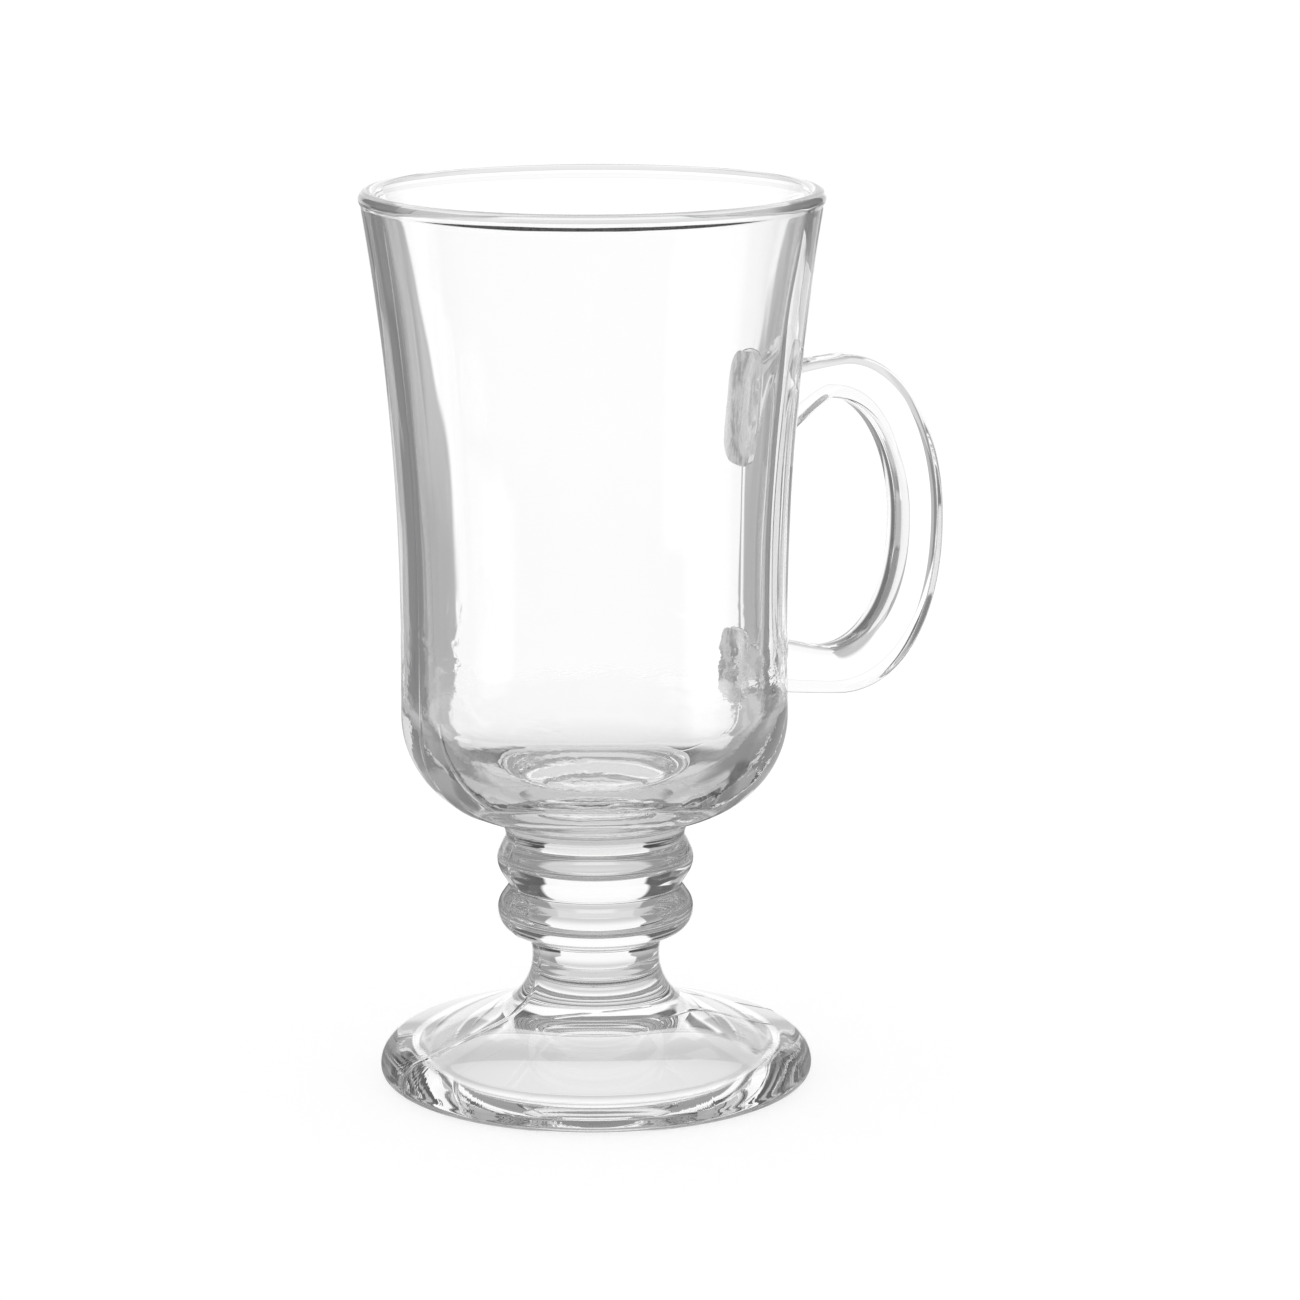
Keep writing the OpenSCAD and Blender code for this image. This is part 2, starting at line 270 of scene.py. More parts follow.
@dataclass
class TurnedOutline:
    """The whole turned outline, from the middle of the bowl's floor over the rim to the hollow of the foot.

    The raw outline is walked through arcs and straight lines. Fire polish then rounds its creases: each point
    is replaced by the mean of its neighbours under a Gaussian of the polish length, on points spaced evenly.

    Attributes:
        sizes: the sizes that it follows.
        polish: the length over which creases are averaged.
        polish_reach: how many of these lengths the average reaches to each side.
        walk_step: distance between the points of the walk.
        length_step: longest distance between two rows of the mesh.
        turn_step: greatest turn between two rows of the mesh, in radians.
        seam_fade: length over which the mould seam sets in under the bead.
        wall_seam: how much of the seam is left on the wall.
        path: (r, z) points of the polished outline.
        normals: outward unit normals at these points.
        rim_at: number of the highest point.
    """

    sizes: TurnedSizes
    polish: float = 0.00022
    polish_reach: float = 4.0
    walk_step: float = 0.00003
    length_step: float = 0.0026
    turn_step: float = math.radians(3.2)
    seam_fade: float = 0.004
    wall_seam: float = 0.2
    path: np.ndarray = field(init=False)
    normals: np.ndarray = field(init=False)
    rim_at: int = field(init=False)

    def __post_init__(self) -> None:
        """Walk, polish and differentiate the outline."""
        raw = self.raw_path()
        length = walked(raw)
        even = np.arange(0.0, length[-1], self.walk_step)
        points = np.stack([np.interp(even, length, raw[:, i]) for i in range(2)], axis=1)
        self.path = self.polished(points)
        tangent = np.gradient(self.path, axis=0)
        tangent /= np.linalg.norm(tangent, axis=1, keepdims=True)
        self.normals = np.stack([-tangent[:, 1], tangent[:, 0]], axis=1)
        self.rim_at = int(np.argmax(self.path[:, 1]))

    def raw_path(self) -> np.ndarray:
        """Join the outline's arcs and lines, from the axis inside the bowl to the axis under the foot."""
        s = self.sizes
        return np.concatenate([self.inside(s), self.rim(s), self.underside(s), self.stem(s), self.foot(s)])

    @staticmethod
    def inside(s: TurnedSizes) -> np.ndarray:
        """Walk the flat floor, its round corner and the inner wall up to the bead.

        Args:
            s: the sizes.

        Returns:
            The (r, z) points.
        """
        floor_h = s.underside_h + s.floor_t
        floor_r = s.base_round_r - s.lower_wall_t
        corner = np.array([s.wall_r - s.lower_wall_t - floor_r, floor_h + floor_r])
        heights = np.linspace(s.flare_start_h, s.bead_centre[1] - s.bead_d / 8, CURVE_POINTS)
        wall = np.stack([s.inner_wall(heights), heights], axis=1)
        return np.concatenate([[[0.0, floor_h]], arc(corner, floor_r, -90, 0), wall])

    @staticmethod
    def rim(s: TurnedSizes) -> np.ndarray:
        """Walk over the bead and down the outer wall. The wall leaves the bead where the two cross.

        Args:
            s: the sizes.

        Returns:
            The (r, z) points.
        """
        bead_r = s.bead_d / 2
        centre = s.bead_centre
        below = np.linspace(0.0, bead_r, CROSSING_STEPS)
        outside_bead = centre[0] + np.sqrt(bead_r**2 - below**2) < s.outer_wall(centre[1] - below)
        crossing = below[int(np.argmax(outside_bead))]
        low_angle = -math.degrees(math.asin(crossing / bead_r))
        heights = np.linspace(centre[1] - crossing, s.flare_start_h, CURVE_POINTS)
        wall = np.stack([s.outer_wall(heights), heights], axis=1)
        return np.concatenate([arc(centre, bead_r, 180, low_angle), wall])

    @staticmethod
    def underside(s: TurnedSizes) -> np.ndarray:
        """Walk the bowl's outer round and the hollow shoulder that follows it.

        The shoulder leaves the stem upright and touches the round. With the joint inset by i from the round's
        centre and d below it, its radius is (i^2 + d^2 - R^2) / (2 (R - i)).

        Args:
            s: the sizes.

        Returns:
            The (r, z) points.
        """
        corner = s.underside_corner
        inset = s.upper_joint_r - corner[0]
        drop = corner[1] - s.upper_joint_h
        radius = (inset**2 + drop**2 - s.base_round_r**2) / (2 * (s.base_round_r - inset))
        centre = np.array([s.upper_joint_r + radius, s.upper_joint_h])
        touch = math.degrees(heading(corner, centre))
        return np.concatenate([arc(corner, s.base_round_r, 0, touch), arc(centre, radius, 180 + touch, 180)])

    @staticmethod
    def knop(s: TurnedSizes, top: tuple[float, float], low: tuple[float, float]) -> np.ndarray:
        """Walk one knop: straight flanks from two joints, tangent to a round edge a little above the middle.

        A flank leans off the line to the edge's centre by acos(edge radius / distance).

        Args:
            s: the sizes.
            top: (r, z) of the upper joint.
            low: (r, z) of the lower joint.

        Returns:
            The (r, z) points.
        """
        level = low[1] + (top[1] - low[1]) * s.knop_level_share
        centre = np.array([s.knop_r - s.knop_edge_r, level])
        flanks = []
        for side, point in ((1, np.array(top)), (-1, np.array(low))):
            lean = math.acos(min(1.0, s.knop_edge_r / np.linalg.norm(point - centre)))
            flanks.append(math.degrees(heading(centre, point) - side * lean))
        return np.concatenate([[top], arc(centre, s.knop_edge_r, *flanks), [low]])

    @classmethod
    def stem(cls, s: TurnedSizes) -> np.ndarray:
        """Walk both knops and the hollow sweep of the neck as far as its waist.

        Args:
            s: the sizes.

        Returns:
            The (r, z) points.
        """
        sweep_in = math.sqrt(s.neck_sweep_r**2 - (s.lower_joint_h - s.neck_waist_h) ** 2)
        lower_joint_r = s.neck_r + s.neck_sweep_r - sweep_in
        groove = (s.groove_r, s.groove_h)
        sweep_centre = np.array([s.neck_r + s.neck_sweep_r, s.neck_waist_h])
        top_angle = 180 - math.degrees(math.asin((s.lower_joint_h - s.neck_waist_h) / s.neck_sweep_r))
        return np.concatenate([
            cls.knop(s, (s.upper_joint_r, s.upper_joint_h), groove),
            cls.knop(s, groove, (lower_joint_r, s.lower_joint_h)),
            arc(sweep_centre, s.neck_sweep_r, top_angle, 180),
        ])

    @staticmethod
    def foot(s: TurnedSizes) -> np.ndarray:
        """Walk the rest of the sweep, the foot's sloping top, its edge, the ring it stands on and its hollow.

        The slope is the inner tangent of the sweep and the shoulder. The hollow is part of a ball of radius
        (r^2 + h^2) / (2 h), and a small round leads from it to the ring.

        Args:
            s: the sizes.

        Returns:
            The (r, z) points.
        """
        sweep_centre = np.array([s.neck_r + s.neck_sweep_r, s.neck_waist_h])
        shoulder = np.array([s.foot_r - s.foot_shoulder_r, s.foot_edge_r])
        edge = np.array([s.foot_r - s.foot_edge_r, s.foot_edge_r])
        apart = sweep_centre - shoulder
        lean = math.acos((s.neck_sweep_r + s.foot_shoulder_r) / np.linalg.norm(apart))
        slope = math.degrees(lean - math.atan2(-apart[0], apart[1]))
        ball_r = (s.hollow_r**2 + s.hollow_h**2) / (2 * s.hollow_h)
        ball = np.array([0.0, s.hollow_h - ball_r])
        lip_out = math.sqrt((ball_r + s.hollow_lip_r) ** 2 - (s.hollow_lip_r - ball[1]) ** 2)
        lip = np.array([lip_out, s.hollow_lip_r])
        lip_angle = math.degrees(heading(ball, lip))
        return np.concatenate([
            arc(sweep_centre, s.neck_sweep_r, 180, 270 - slope),
            arc(shoulder, s.foot_shoulder_r, 90 - slope, 0),
            arc(edge, s.foot_edge_r, 0, -90),
            arc(lip, s.hollow_lip_r, 270, 180 + lip_angle),
            arc(ball, ball_r, lip_angle, 90),
        ])

    def polished(self, points: np.ndarray) -> np.ndarray:
        """Average each point with its neighbours under a Gaussian.

        Past the axis the outline carries on mirrored.

        Args:
            points: evenly spaced (r, z) points.

        Returns:
            The averaged points.
        """
        reach = int(self.polish_reach * self.polish / self.walk_step)
        offsets = np.arange(-reach, reach + 1) * self.walk_step
        weights = np.exp(-0.5 * (offsets / self.polish) ** 2)
        weights /= weights.sum()
        mirror = np.array([-1.0, 1.0])
        padded = np.concatenate([points[reach:0:-1] * mirror, points, points[-2:-reach - 2:-1] * mirror])
        smooth = np.stack([np.convolve(padded[:, i], weights, mode="valid") for i in range(2)], axis=1)
        smooth[[0, -1], 0] = 0.0
        return smooth

    def crossing(self, height: float) -> float:
        """Find where the outer side of the outline comes down to a height.

        Args:
            height: the height.

        Returns:
            The place on the path, as a fractional index.
        """
        outer = self.path[self.rim_at:, 1]
        after = int(np.argmax(outer <= height))
        return self.rim_at + after - (height - outer[after]) / (outer[after - 1] - outer[after])

    def span(self, top: float | None, low: float | None) -> Span:
        """Cut a stretch out of the outline and space its points by length walked plus angle turned.

        Args:
            top: height of the joint at its upper end, or None to start on the axis inside the bowl.
            low: height of the joint at its lower end, or None to end on the axis under the foot.

        Returns:
            The stretch.
        """
        start = 0.0 if top is None else self.crossing(top)
        end = len(self.path) - 1.0 if low is None else self.crossing(low)
        index = np.arange(len(self.path))
        turn = np.abs(np.diff(np.unwrap(np.arctan2(self.normals[:, 1], self.normals[:, 0]))))
        pace = np.concatenate([[0.0], np.cumsum(self.walk_step / self.length_step + turn / self.turn_step)])
        ends = np.interp([start, end], index, pace)
        count = int(math.ceil(ends[1] - ends[0])) + 1
        at = np.interp(np.linspace(*ends, count), pace, index)
        points = np.stack([np.interp(at, index, self.path[:, i]) for i in range(2)], axis=1)
        normals = np.stack([np.interp(at, index, self.normals[:, i]) for i in range(2)], axis=1)
        normals /= np.linalg.norm(normals, axis=1, keepdims=True)
        s = self.sizes
        below_bead = smooth_step(s.glass_h - points[:, 1], s.bead_d, s.bead_d + self.seam_fade)
        on_base = smooth_step(-points[:, 1], -s.flare_start_h, -s.underside_h)
        below_bead *= self.wall_seam + (1.0 - self.wall_seam) * on_base
        off_table = smooth_step(points[:, 1], 0.0, s.foot_edge_r)
        outside = (at > self.rim_at) & (points[:, 0] > s.hollow_r)
        outside |= (at > self.rim_at) & (points[:, 1] > s.foot_joint_h / 2)
        return Span(points, normals, below_bead * off_table * outside)


# Meshes

class Slot(Enum):
    """The two material slots of every piece of glass."""

    GLASS = 0
    FUSED = 1


@dataclass
class MeshParts:
    """Collects the parts of one closed mesh.

    Attributes:
        vertices: blocks of points.
        faces: blocks of vertex numbers.
        normals: blocks of corner normals, in the faces' order.
        slots: blocks of material slots, one for a face.
        count: number of points so far.
    """

    vertices: list[np.ndarray] = field(default_factory=list)
    faces: list[np.ndarray] = field(default_factory=list)
    normals: list[np.ndarray] = field(default_factory=list)
    slots: list[np.ndarray] = field(default_factory=list)
    count: int = 0

    def add_points(self, points: np.ndarray) -> np.ndarray:
        """Add points.

        Args:
            points: a grid of any shape, with x, y and z along its last axis.

        Returns:
            Their vertex numbers, in the grid's shape.
        """
        flat = points.reshape(-1, 3)
        numbers = self.count + np.arange(len(flat))
        self.vertices.append(flat)
        self.count += len(flat)
        return numbers.reshape(points.shape[:-1])

    def add_faces(self, numbers: np.ndarray, normals: np.ndarray, slot: Slot) -> None:
        """Add faces of one corner count, with a normal for every corner.

        Args:
            numbers: vertex numbers, of shape (faces, corners).
            normals: corner normals, of shape (faces, corners, 3).
            slot: the material slot of them all.
        """
        self.faces.append(numbers)
        self.normals.append(normals.reshape(-1, 3))
        self.slots.append(np.full(len(numbers), slot.value))

    def add_grid(self, numbers: np.ndarray, normals: np.ndarray, slot: Slot, flip: bool = False) -> None:
        """Add the quads between the rows of a grid that closes on itself along its second axis.

        Args:
            numbers: vertex numbers, of shape (rows, columns).
            normals: a normal for each of them.
            slot: the material slot.
            flip: turn the quads round.
        """
        after = np.roll(numbers, -1, axis=1)
        after_normals = np.roll(normals, -1, axis=1)
        corners = [numbers[:-1], after[:-1], after[1:], numbers[1:]]
        corner_normals = [normals[:-1], after_normals[:-1], after_normals[1:], normals[1:]]
        if flip:
            corners.reverse()
            corner_normals.reverse()
        quads = np.stack(corners, axis=-1).reshape(-1, 4)
        self.add_faces(quads, np.stack(corner_normals, axis=-2).reshape(-1, 4, 3), slot)

    def add_fan(self, ring: np.ndarray, ring_normals: np.ndarray, tip: int, tip_normal: np.ndarray,
                slot: Slot, flip: bool = False) -> None:
        """Add the triangles between a closed ring and a tip.

        Args:
            ring: vertex numbers of the ring.
            ring_normals: a normal for each of them.
            tip: vertex number of the tip.
            tip_normal: its normal.
            slot: the material slot.
            flip: turn the triangles round.
        """
        after = np.roll(ring, -1)
        after_normals = np.roll(ring_normals, -1, axis=0)
        tips = np.full_like(ring, tip)
        tip_normals = np.broadcast_to(tip_normal, ring_normals.shape)
        corners = [ring, after, tips]
        corner_normals = [ring_normals, after_normals, tip_normals]
        if flip:
            corners.reverse()
            corner_normals.reverse()
        self.add_faces(np.stack(corners, axis=-1), np.stack(corner_normals, axis=-2), slot)

    def build(self, name: str) -> bpy.types.Object:
        """Put everything into a mesh.

        Args:
            name: the name of mesh and object.

        Returns:
            The object, which sits at the origin.
        """
        mesh = bpy.data.meshes.new(name)
        faces = [face for block in self.faces for face in block.tolist()]
        mesh.from_pydata(np.concatenate(self.vertices).tolist(), [], faces)
        mesh.polygons.foreach_set("use_smooth", np.ones(len(faces), bool))
        mesh.polygons.foreach_set("material_index", np.concatenate(self.slots))
        mesh.normals_split_custom_set(np.concatenate(self.normals).tolist())
        mesh.update()
        obj = bpy.data.objects.new(name, mesh)
        bpy.context.scene.collection.objects.link(obj)
        return obj


@dataclass(frozen=True)
class MouldSeam:
    """The fine ridge that the mould's halves leave in the plane of the handle, on both sides of the glass.

    Attributes:
        height: its height.
        width: distance from its middle at which it has fallen to 1/e of that.
    """

    height: float = 0.00011
    width: float = 0.00042

    def ridge(self, offset: np.ndarray) -> np.ndarray:
        """Return the ridge's height at a distance d from the parting plane: height * exp(-(d / width)^2)."""
        return self.height * np.exp(-((offset / self.width) ** 2))

    def slope(self, offset: np.ndarray) -> np.ndarray:
        """Return how the ridge's height changes with that distance."""
        return -2.0 * offset / self.width**2 * self.ridge(offset)


@dataclass(frozen=True)
class Lathe:
    """Turns a span about the axis. Columns crowd towards the parting plane, where the mould seams are.

    A point at angle a is ((r + h n_r) cos a, (r + h n_r) sin a, z + h n_z), where h is the ridge at r sin a
    and n is the outline's normal. Column u is at the angle u - crowding * sin(2u).

    Attributes:
        seam: the mould seam.
        columns: number of columns.
        crowding: how strongly they crowd.
    """

    seam: MouldSeam
    columns: int = 360
    crowding: float = 0.42

    def angles(self) -> np.ndarray:
        """Return the columns' angles."""
        even = np.linspace(0.0, 2.0 * math.pi, self.columns, endpoint=False)
        return even - self.crowding * np.sin(2.0 * even)

    def turn(self, span: Span) -> tuple[np.ndarray, np.ndarray]:
        """Turn a span.

        Args:
            span: the stretch of outline.

        Returns:
            Points and unit normals, both of shape (rows, columns, 3).
        """
        angle = self.angles()[None, :]
        radius, height = (span.points[:, i][:, None] for i in range(2))
        out, up = (span.normals[:, i][:, None] for i in range(2))
        offset = radius * np.sin(angle)
        ridge = span.seam[:, None] * self.seam.ridge(offset)
        climb = span.seam[:, None] * self.seam.slope(offset) * radius * np.cos(angle)
        reach = radius + ridge * out
        points = np.stack(np.broadcast_arrays(
            reach * np.cos(angle),
            reach * np.sin(angle),
            height + ridge * up,
        ), -1)
        around = np.stack(np.broadcast_arrays(
            climb * out * np.cos(angle) - reach * np.sin(angle),
            climb * out * np.sin(angle) + reach * np.cos(angle),
            climb * up,
        ), -1)
        down = np.stack(np.broadcast_arrays(up * np.cos(angle), up * np.sin(angle), -out), -1)
        normals = np.cross(down, around)
        sizes = np.linalg.norm(normals, axis=-1, keepdims=True)
        flat = np.stack(np.broadcast_arrays(out * np.cos(angle), out * np.sin(angle), up), -1)
        return points, np.where(sizes > NO_LENGTH, normals / np.maximum(sizes, NO_LENGTH), flat)

    def solid(self, name: str, span: Span) -> bpy.types.Object:
        """Turn a span into a closed piece.

        An end that is off the axis gets a level disc, fused to the next piece.

        Args:
            name: the piece's name.
            span: the stretch of outline.

        Returns:
            The piece.
        """
        points, normals = self.turn(span)
        parts = MeshParts()
        first = 1 if span.points[0, 0] < ON_AXIS else 0
        last = len(points) - (1 if span.points[-1, 0] < ON_AXIS else 0)
        rows = parts.add_points(points[first:last])
        parts.add_grid(rows, normals[first:last], Slot.GLASS, flip=True)
        for row, end, at in ((rows[0], 0, first), (rows[-1], -1, last - 1)):
            top_end = end == 0
            tip = int(parts.add_points(np.array([0.0, 0.0, span.points[end, 1]])))
            if at == end % len(points):
                up = np.array([0.0, 0.0, 1.0 if top_end else -1.0])
                ring_normals = np.broadcast_to(up, (len(row), 3))
                parts.add_fan(row, ring_normals, tip, up, Slot.FUSED, flip=not top_end)
            else:
                up = np.array([0.0, 0.0, math.copysign(1.0, span.normals[end, 1])])
                parts.add_fan(row, normals[at], tip, up, Slot.GLASS, flip=not top_end)
        return parts.build(name)


# The handle

@dataclass(frozen=True)
class HandleSizes:
    """Sizes of the handle, seen from the side, and of its bar.

    Attributes:
        reach: distance of its outermost point from the axis.
        top_h: level of its top.
        low_h: level of its bottom.
        outer_turn_r: distance from the axis at which the outer side turns from root to oval.
        inner_turn_r: the same for the inner side.
        grip_w: width of the bar at its outermost point.
        top_bar_w: width of the bar at the top.
        low_bar_w: width of the bar at the bottom.
        bar_t: thickness of the bar, out of the handle's plane.
        upper_outer_drop: how far the upper root's outer side sinks on its way to the wall.
        upper_inner_drop: the same for its inner side.
        lower_outer_rise: how far the lower root's outer side climbs on its way to the wall.
        lower_inner_rise: the same for its inner side.
        upper_fillet_r: fillet between upper root and wall.
        lower_fillet_r: fillet between lower root and wall.
        upper_oval_power: squareness of the upper half oval, where 2 is an ellipse.
        lower_oval_power: squareness of the lower half oval.
        section_power: squareness of the bar's section.
        easing_power: how late a root's sides shift, where 1 is a straight line.
        bend_reach: how far from the wall the bar starts to follow the wall's curve.
    """

    reach: float = 0.0664
    top_h: float = 0.1186
    low_h: float = 0.0606
    outer_turn_r: float = 0.047
    inner_turn_r: float = 0.044
    grip_w: float = 0.009
    top_bar_w: float = 0.0072
    low_bar_w: float = 0.0084
    bar_t: float = 0.0066
    upper_outer_drop: float = 0.0009
    upper_inner_drop: float = 0.0084
    lower_outer_rise: float = 0.0018
    lower_inner_rise: float = 0.0032
    upper_fillet_r: float = 0.002
    lower_fillet_r: float = 0.0013
    upper_oval_power: float = 2.0
    lower_oval_power: float = 2.2
    section_power: float = 4.0
    easing_power: float = 1.2
    bend_reach: float = 0.006


@dataclass(frozen=True)
class Root:
    """One root of the handle.

    Attributes:
        outer_h: level of its outer side at the oval.
        outer_shift: how far that side climbs on its way to the wall.
        inner_h: level of its inner side at the oval.
        inner_shift: how far that side climbs.
        fillet_r: radius of its fillet.
    """

    outer_h: float
    outer_shift: float
    inner_h: float
    inner_shift: float
    fillet_r: float


@dataclass
class Handle:
    """The D-shaped handle, carried as a rounded bar between an outer and an inner line of points.

    Station k has an outer point o, an inner point i and a fillet f. Its ring is (o + i) / 2 + across * p in
    the plane of the handle and thick * q out of it, where across is (o - i) / 2 grown by f, thick is half the
    bar plus f, and (p, q) runs around the curve |p|^n + |q|^n = 1.

    Attributes:
        sizes: its own sizes.
        turned: sizes of the glass that it stands on.
        seam: its mould seam.
        root_rows: rings along a root.
        sweep_rows: steps along the half ovals.
        ring_columns: points in a ring.
        cap_rows: steps from a ring at the wall to the middle of its cap.
        crowding: how strongly a ring's points crowd towards the seams.
    """

    sizes: HandleSizes
    turned: TurnedSizes
    seam: MouldSeam
    root_rows: int = 46
    sweep_rows: int = 220
    ring_columns: int = 144
    cap_rows: int = 10
    crowding: float = 0.42

    def roots(self) -> tuple[Root, Root]:
        """Work out both roots from the sizes.

        Returns:
            The upper and the lower root.
        """
        s = self.sizes
        return (
            Root(s.top_h, -s.upper_outer_drop, s.top_h - s.top_bar_w, -s.upper_inner_drop, s.upper_fillet_r),
            Root(s.low_h, s.lower_outer_rise, s.low_h + s.low_bar_w, s.lower_inner_rise, s.lower_fillet_r),
        )

    def root_side(self, share: np.ndarray, turn_r: float, height: float, shift: float) -> np.ndarray:
        """Walk one side of a root: level out of the oval, then easing over to meet the wall at share 1.

        The point at share t is (turn_r + (wall - turn_r) t, height + shift * t^easing).

        Args:
            share: how far along the root each point lies.
            turn_r: distance from the axis at which the side leaves the oval.
            height: its level there.
            shift: how far it climbs.

        Returns:
            The (r, z) points.
        """
        wall = self.turned.outer_wall(height + shift)
        return np.stack([
            turn_r + (wall - turn_r) * share,
            height + shift * share**self.sizes.easing_power,
        ], axis=1)

    def root_stations(self, root: Root) -> tuple[np.ndarray, np.ndarray, np.ndarray]:
        """Walk a root from the oval to the wall.

        Its fillet grows like a quarter circle, f - sqrt(f^2 - c^2), where c is how far the gap to the wall
        has closed below f.

        Args:
            root: the root.

        Returns:
            Its outer points, its inner points and its fillets.
        """
        share = 1.0 - (1.0 - np.arange(1, self.root_rows + 1) / self.root_rows) ** 2
        outer = self.root_side(share, self.sizes.outer_turn_r, root.outer_h, root.outer_shift)
        inner = self.root_side(share, self.sizes.inner_turn_r, root.inner_h, root.inner_shift)
        gap = sum(side[:, 0] - self.turned.outer_wall(side[:, 1]) for side in (outer, inner)) / 2
        closing = np.clip(root.fillet_r - gap, 0.0, root.fillet_r)
        return outer, inner, root.fillet_r - np.sqrt(root.fillet_r**2 - closing**2)

    def sweep_stations(self) -> tuple[np.ndarray, np.ndarray, np.ndarray]:
        """Walk the two half ovals from top to bottom, each about its own centre.

        Returns:
            Their outer points, their inner points and their fillets, which are 0.
        """
        s = self.sizes
        angle = np.radians(np.linspace(90.0, -90.0, self.sweep_rows + 1))
        power = np.where(angle > 0, s.upper_oval_power, s.lower_oval_power)
        lean = pushed(np.cos(angle), power)
        rise = pushed(np.sin(angle), power)
        sides = []
        for turn_r, reach, top, low in (
            (s.outer_turn_r, s.reach, s.top_h, s.low_h),
            (s.inner_turn_r, s.reach - s.grip_w, s.top_h - s.top_bar_w, s.low_h + s.low_bar_w),
        ):
            out = turn_r + (reach - turn_r) * lean
            up = (top + low) / 2 + (top - low) / 2 * rise
            sides.append(np.stack([out, up], axis=1))
        return sides[0], sides[1], np.zeros(len(angle))

    def section(self) -> tuple[np.ndarray, np.ndarray]:
        """Walk around the bar's section. Columns crowd towards its two seams.

        Returns:
            The coordinates p and q, where |p|^n + |q|^n = 1.
        """
        even = np.linspace(0.0, 2.0 * math.pi, self.ring_columns, endpoint=False)
        p, q = polar(even - self.crowding * np.sin(2.0 * even)).T
        power = self.sizes.section_power
        size = (np.abs(p) ** power + np.abs(q) ** power) ** (-1.0 / power)
        return p * size, q * size

    def seated(self, points: np.ndarray, share: np.ndarray | float = 1.0) -> np.ndarray:
        """Lay points on the bowl's outside: x becomes sqrt(wall^2 - y^2), or a share of the way there.

        Args:
            points: the points.
            share: how far each of them goes.

        Returns:
            The points in their new place.
        """
        wall = self.turned.outer_wall(points[..., 2])
        on_wall = np.sqrt(wall**2 - points[..., 1] ** 2)
        seat = points.copy()
        seat[..., 0] += (on_wall - points[..., 0]) * share
        return seat

    def rings(self) -> tuple[np.ndarray, np.ndarray]:
        """Work out all rings, from the wall at the top around to the wall at the bottom.

        Near the wall a ring bends back by y^2 / (2 wall_r), to follow the wall's curve.

        Returns:
            Points and unit normals, both of shape (rings, columns, 3).
        """
        upper, lower = (self.root_stations(root) for root in self.roots())
        sweep = self.sweep_stations()
        outer, inner = (np.concatenate([upper[i][::-1], sweep[i], lower[i]]) for i in range(2))
        fillet = np.concatenate([upper[2][::-1], sweep[2], lower[2]])
        centre = (outer + inner) / 2
        half = (outer - inner) / 2
        size = np.linalg.norm(half, axis=1, keepdims=True)
        across = half * (1.0 + fillet[:, None] / size)
        thick = self.sizes.bar_t / 2 + fillet
        p, q = self.section()
        ridge = self.seam.ridge(thick[:, None] * q[None, :]) * np.sign(p)[None, :]
        flat = centre[:, None, :] + across[:, None, :] * p[None, :, None]
        flat += (half / size)[:, None, :] * (ridge - self.seam.height * np.sign(p)[None, :])[:, :, None]
        points = np.stack([flat[..., 0], thick[:, None] * q[None, :], flat[..., 1]], axis=-1)
        wall_r = self.turned.wall_r
        near = smooth_step(centre[:, 0], wall_r + self.sizes.bend_reach, wall_r)
        points[..., 0] -= points[..., 1] ** 2 / (2 * wall_r) * near[:, None]
        for end in (0, -1):
            points[end] = self.seated(points[end])
        along = np.gradient(points, axis=0)
        around = np.roll(points, -1, axis=1) - np.roll(points, 1, axis=1)
        normals = np.cross(along, around)
        return points, normals / np.linalg.norm(normals, axis=-1, keepdims=True)

    def build(self, name: str) -> bpy.types.Object:
        """Skin the rings and close both ends with caps laid on the bowl's wall, fused to it.

        Args:
            name: the piece's name.

        Returns:
            The piece.
        """
        points, normals = self.rings()
        middle = len(points) // 2
        outward = points[middle] - points[middle].mean(axis=0)
        if np.einsum("ij,ij->", outward, normals[middle]) < 0:
            normals = -normals
        parts = MeshParts()
        rows = parts.add_points(points)
        flip = self.winding(points, normals)
        parts.add_grid(rows, normals, Slot.GLASS, flip=flip)
        for end, cap_flip in ((0, not flip), (-1, flip)):
            self.add_cap(parts, rows[end], points[end], cap_flip)
        return parts.build(name)

    @staticmethod
    def winding(points: np.ndarray, normals: np.ndarray) -> bool:
        """Tell whether the grid's quads have to be turned round to face along the normals.

        Args:
            points: the rings.
            normals: their normals.

        Returns:
            Whether they have to.
        """
        side = points[1, 1] - points[1, 0]
        down = points[2, 0] - points[1, 0]
        return float(np.dot(np.cross(side, down), normals[1, 0])) < 0

    def add_cap(self, parts: MeshParts, ring: np.ndarray, points: np.ndarray, flip: bool) -> None:
        """Close one end: rings drawn in towards the middle, laid on the wall, then a tip.

        Args:
            parts: the mesh so far.
            ring: vertex numbers of the last ring.
            points: its points.
            flip: turn the faces round.
        """
        middle = points.mean(axis=0)
        shares = 1.0 - np.arange(1, self.cap_rows) / self.cap_rows
        drawn = self.seated(middle + (points - middle)[None] * shares[:, None, None])
        towards = np.array([-1.0, 0.0, 0.0])
        numbers = np.concatenate([ring[None], parts.add_points(drawn)])
        parts.add_grid(numbers, np.broadcast_to(towards, (*numbers.shape, 3)), Slot.FUSED, flip=not flip)
        tip = int(parts.add_points(self.seated(middle)))
        facing = np.broadcast_to(towards, (len(ring), 3))
        parts.add_fan(numbers[-1], facing, tip, towards, Slot.FUSED, flip=flip)

    def footprint(self, root: Root) -> tuple[float, float, float]:
        """Measure a root's outline on the wall.

        Args:
            root: the root.

        Returns:
            Its middle height, half its height and half its thickness.
        """
        outer = root.outer_h + root.outer_shift
        inner = root.inner_h + root.inner_shift
        tall = abs(outer - inner) / 2 + root.fillet_r
        return (outer + inner) / 2, tall, self.sizes.bar_t / 2 + root.fillet_r


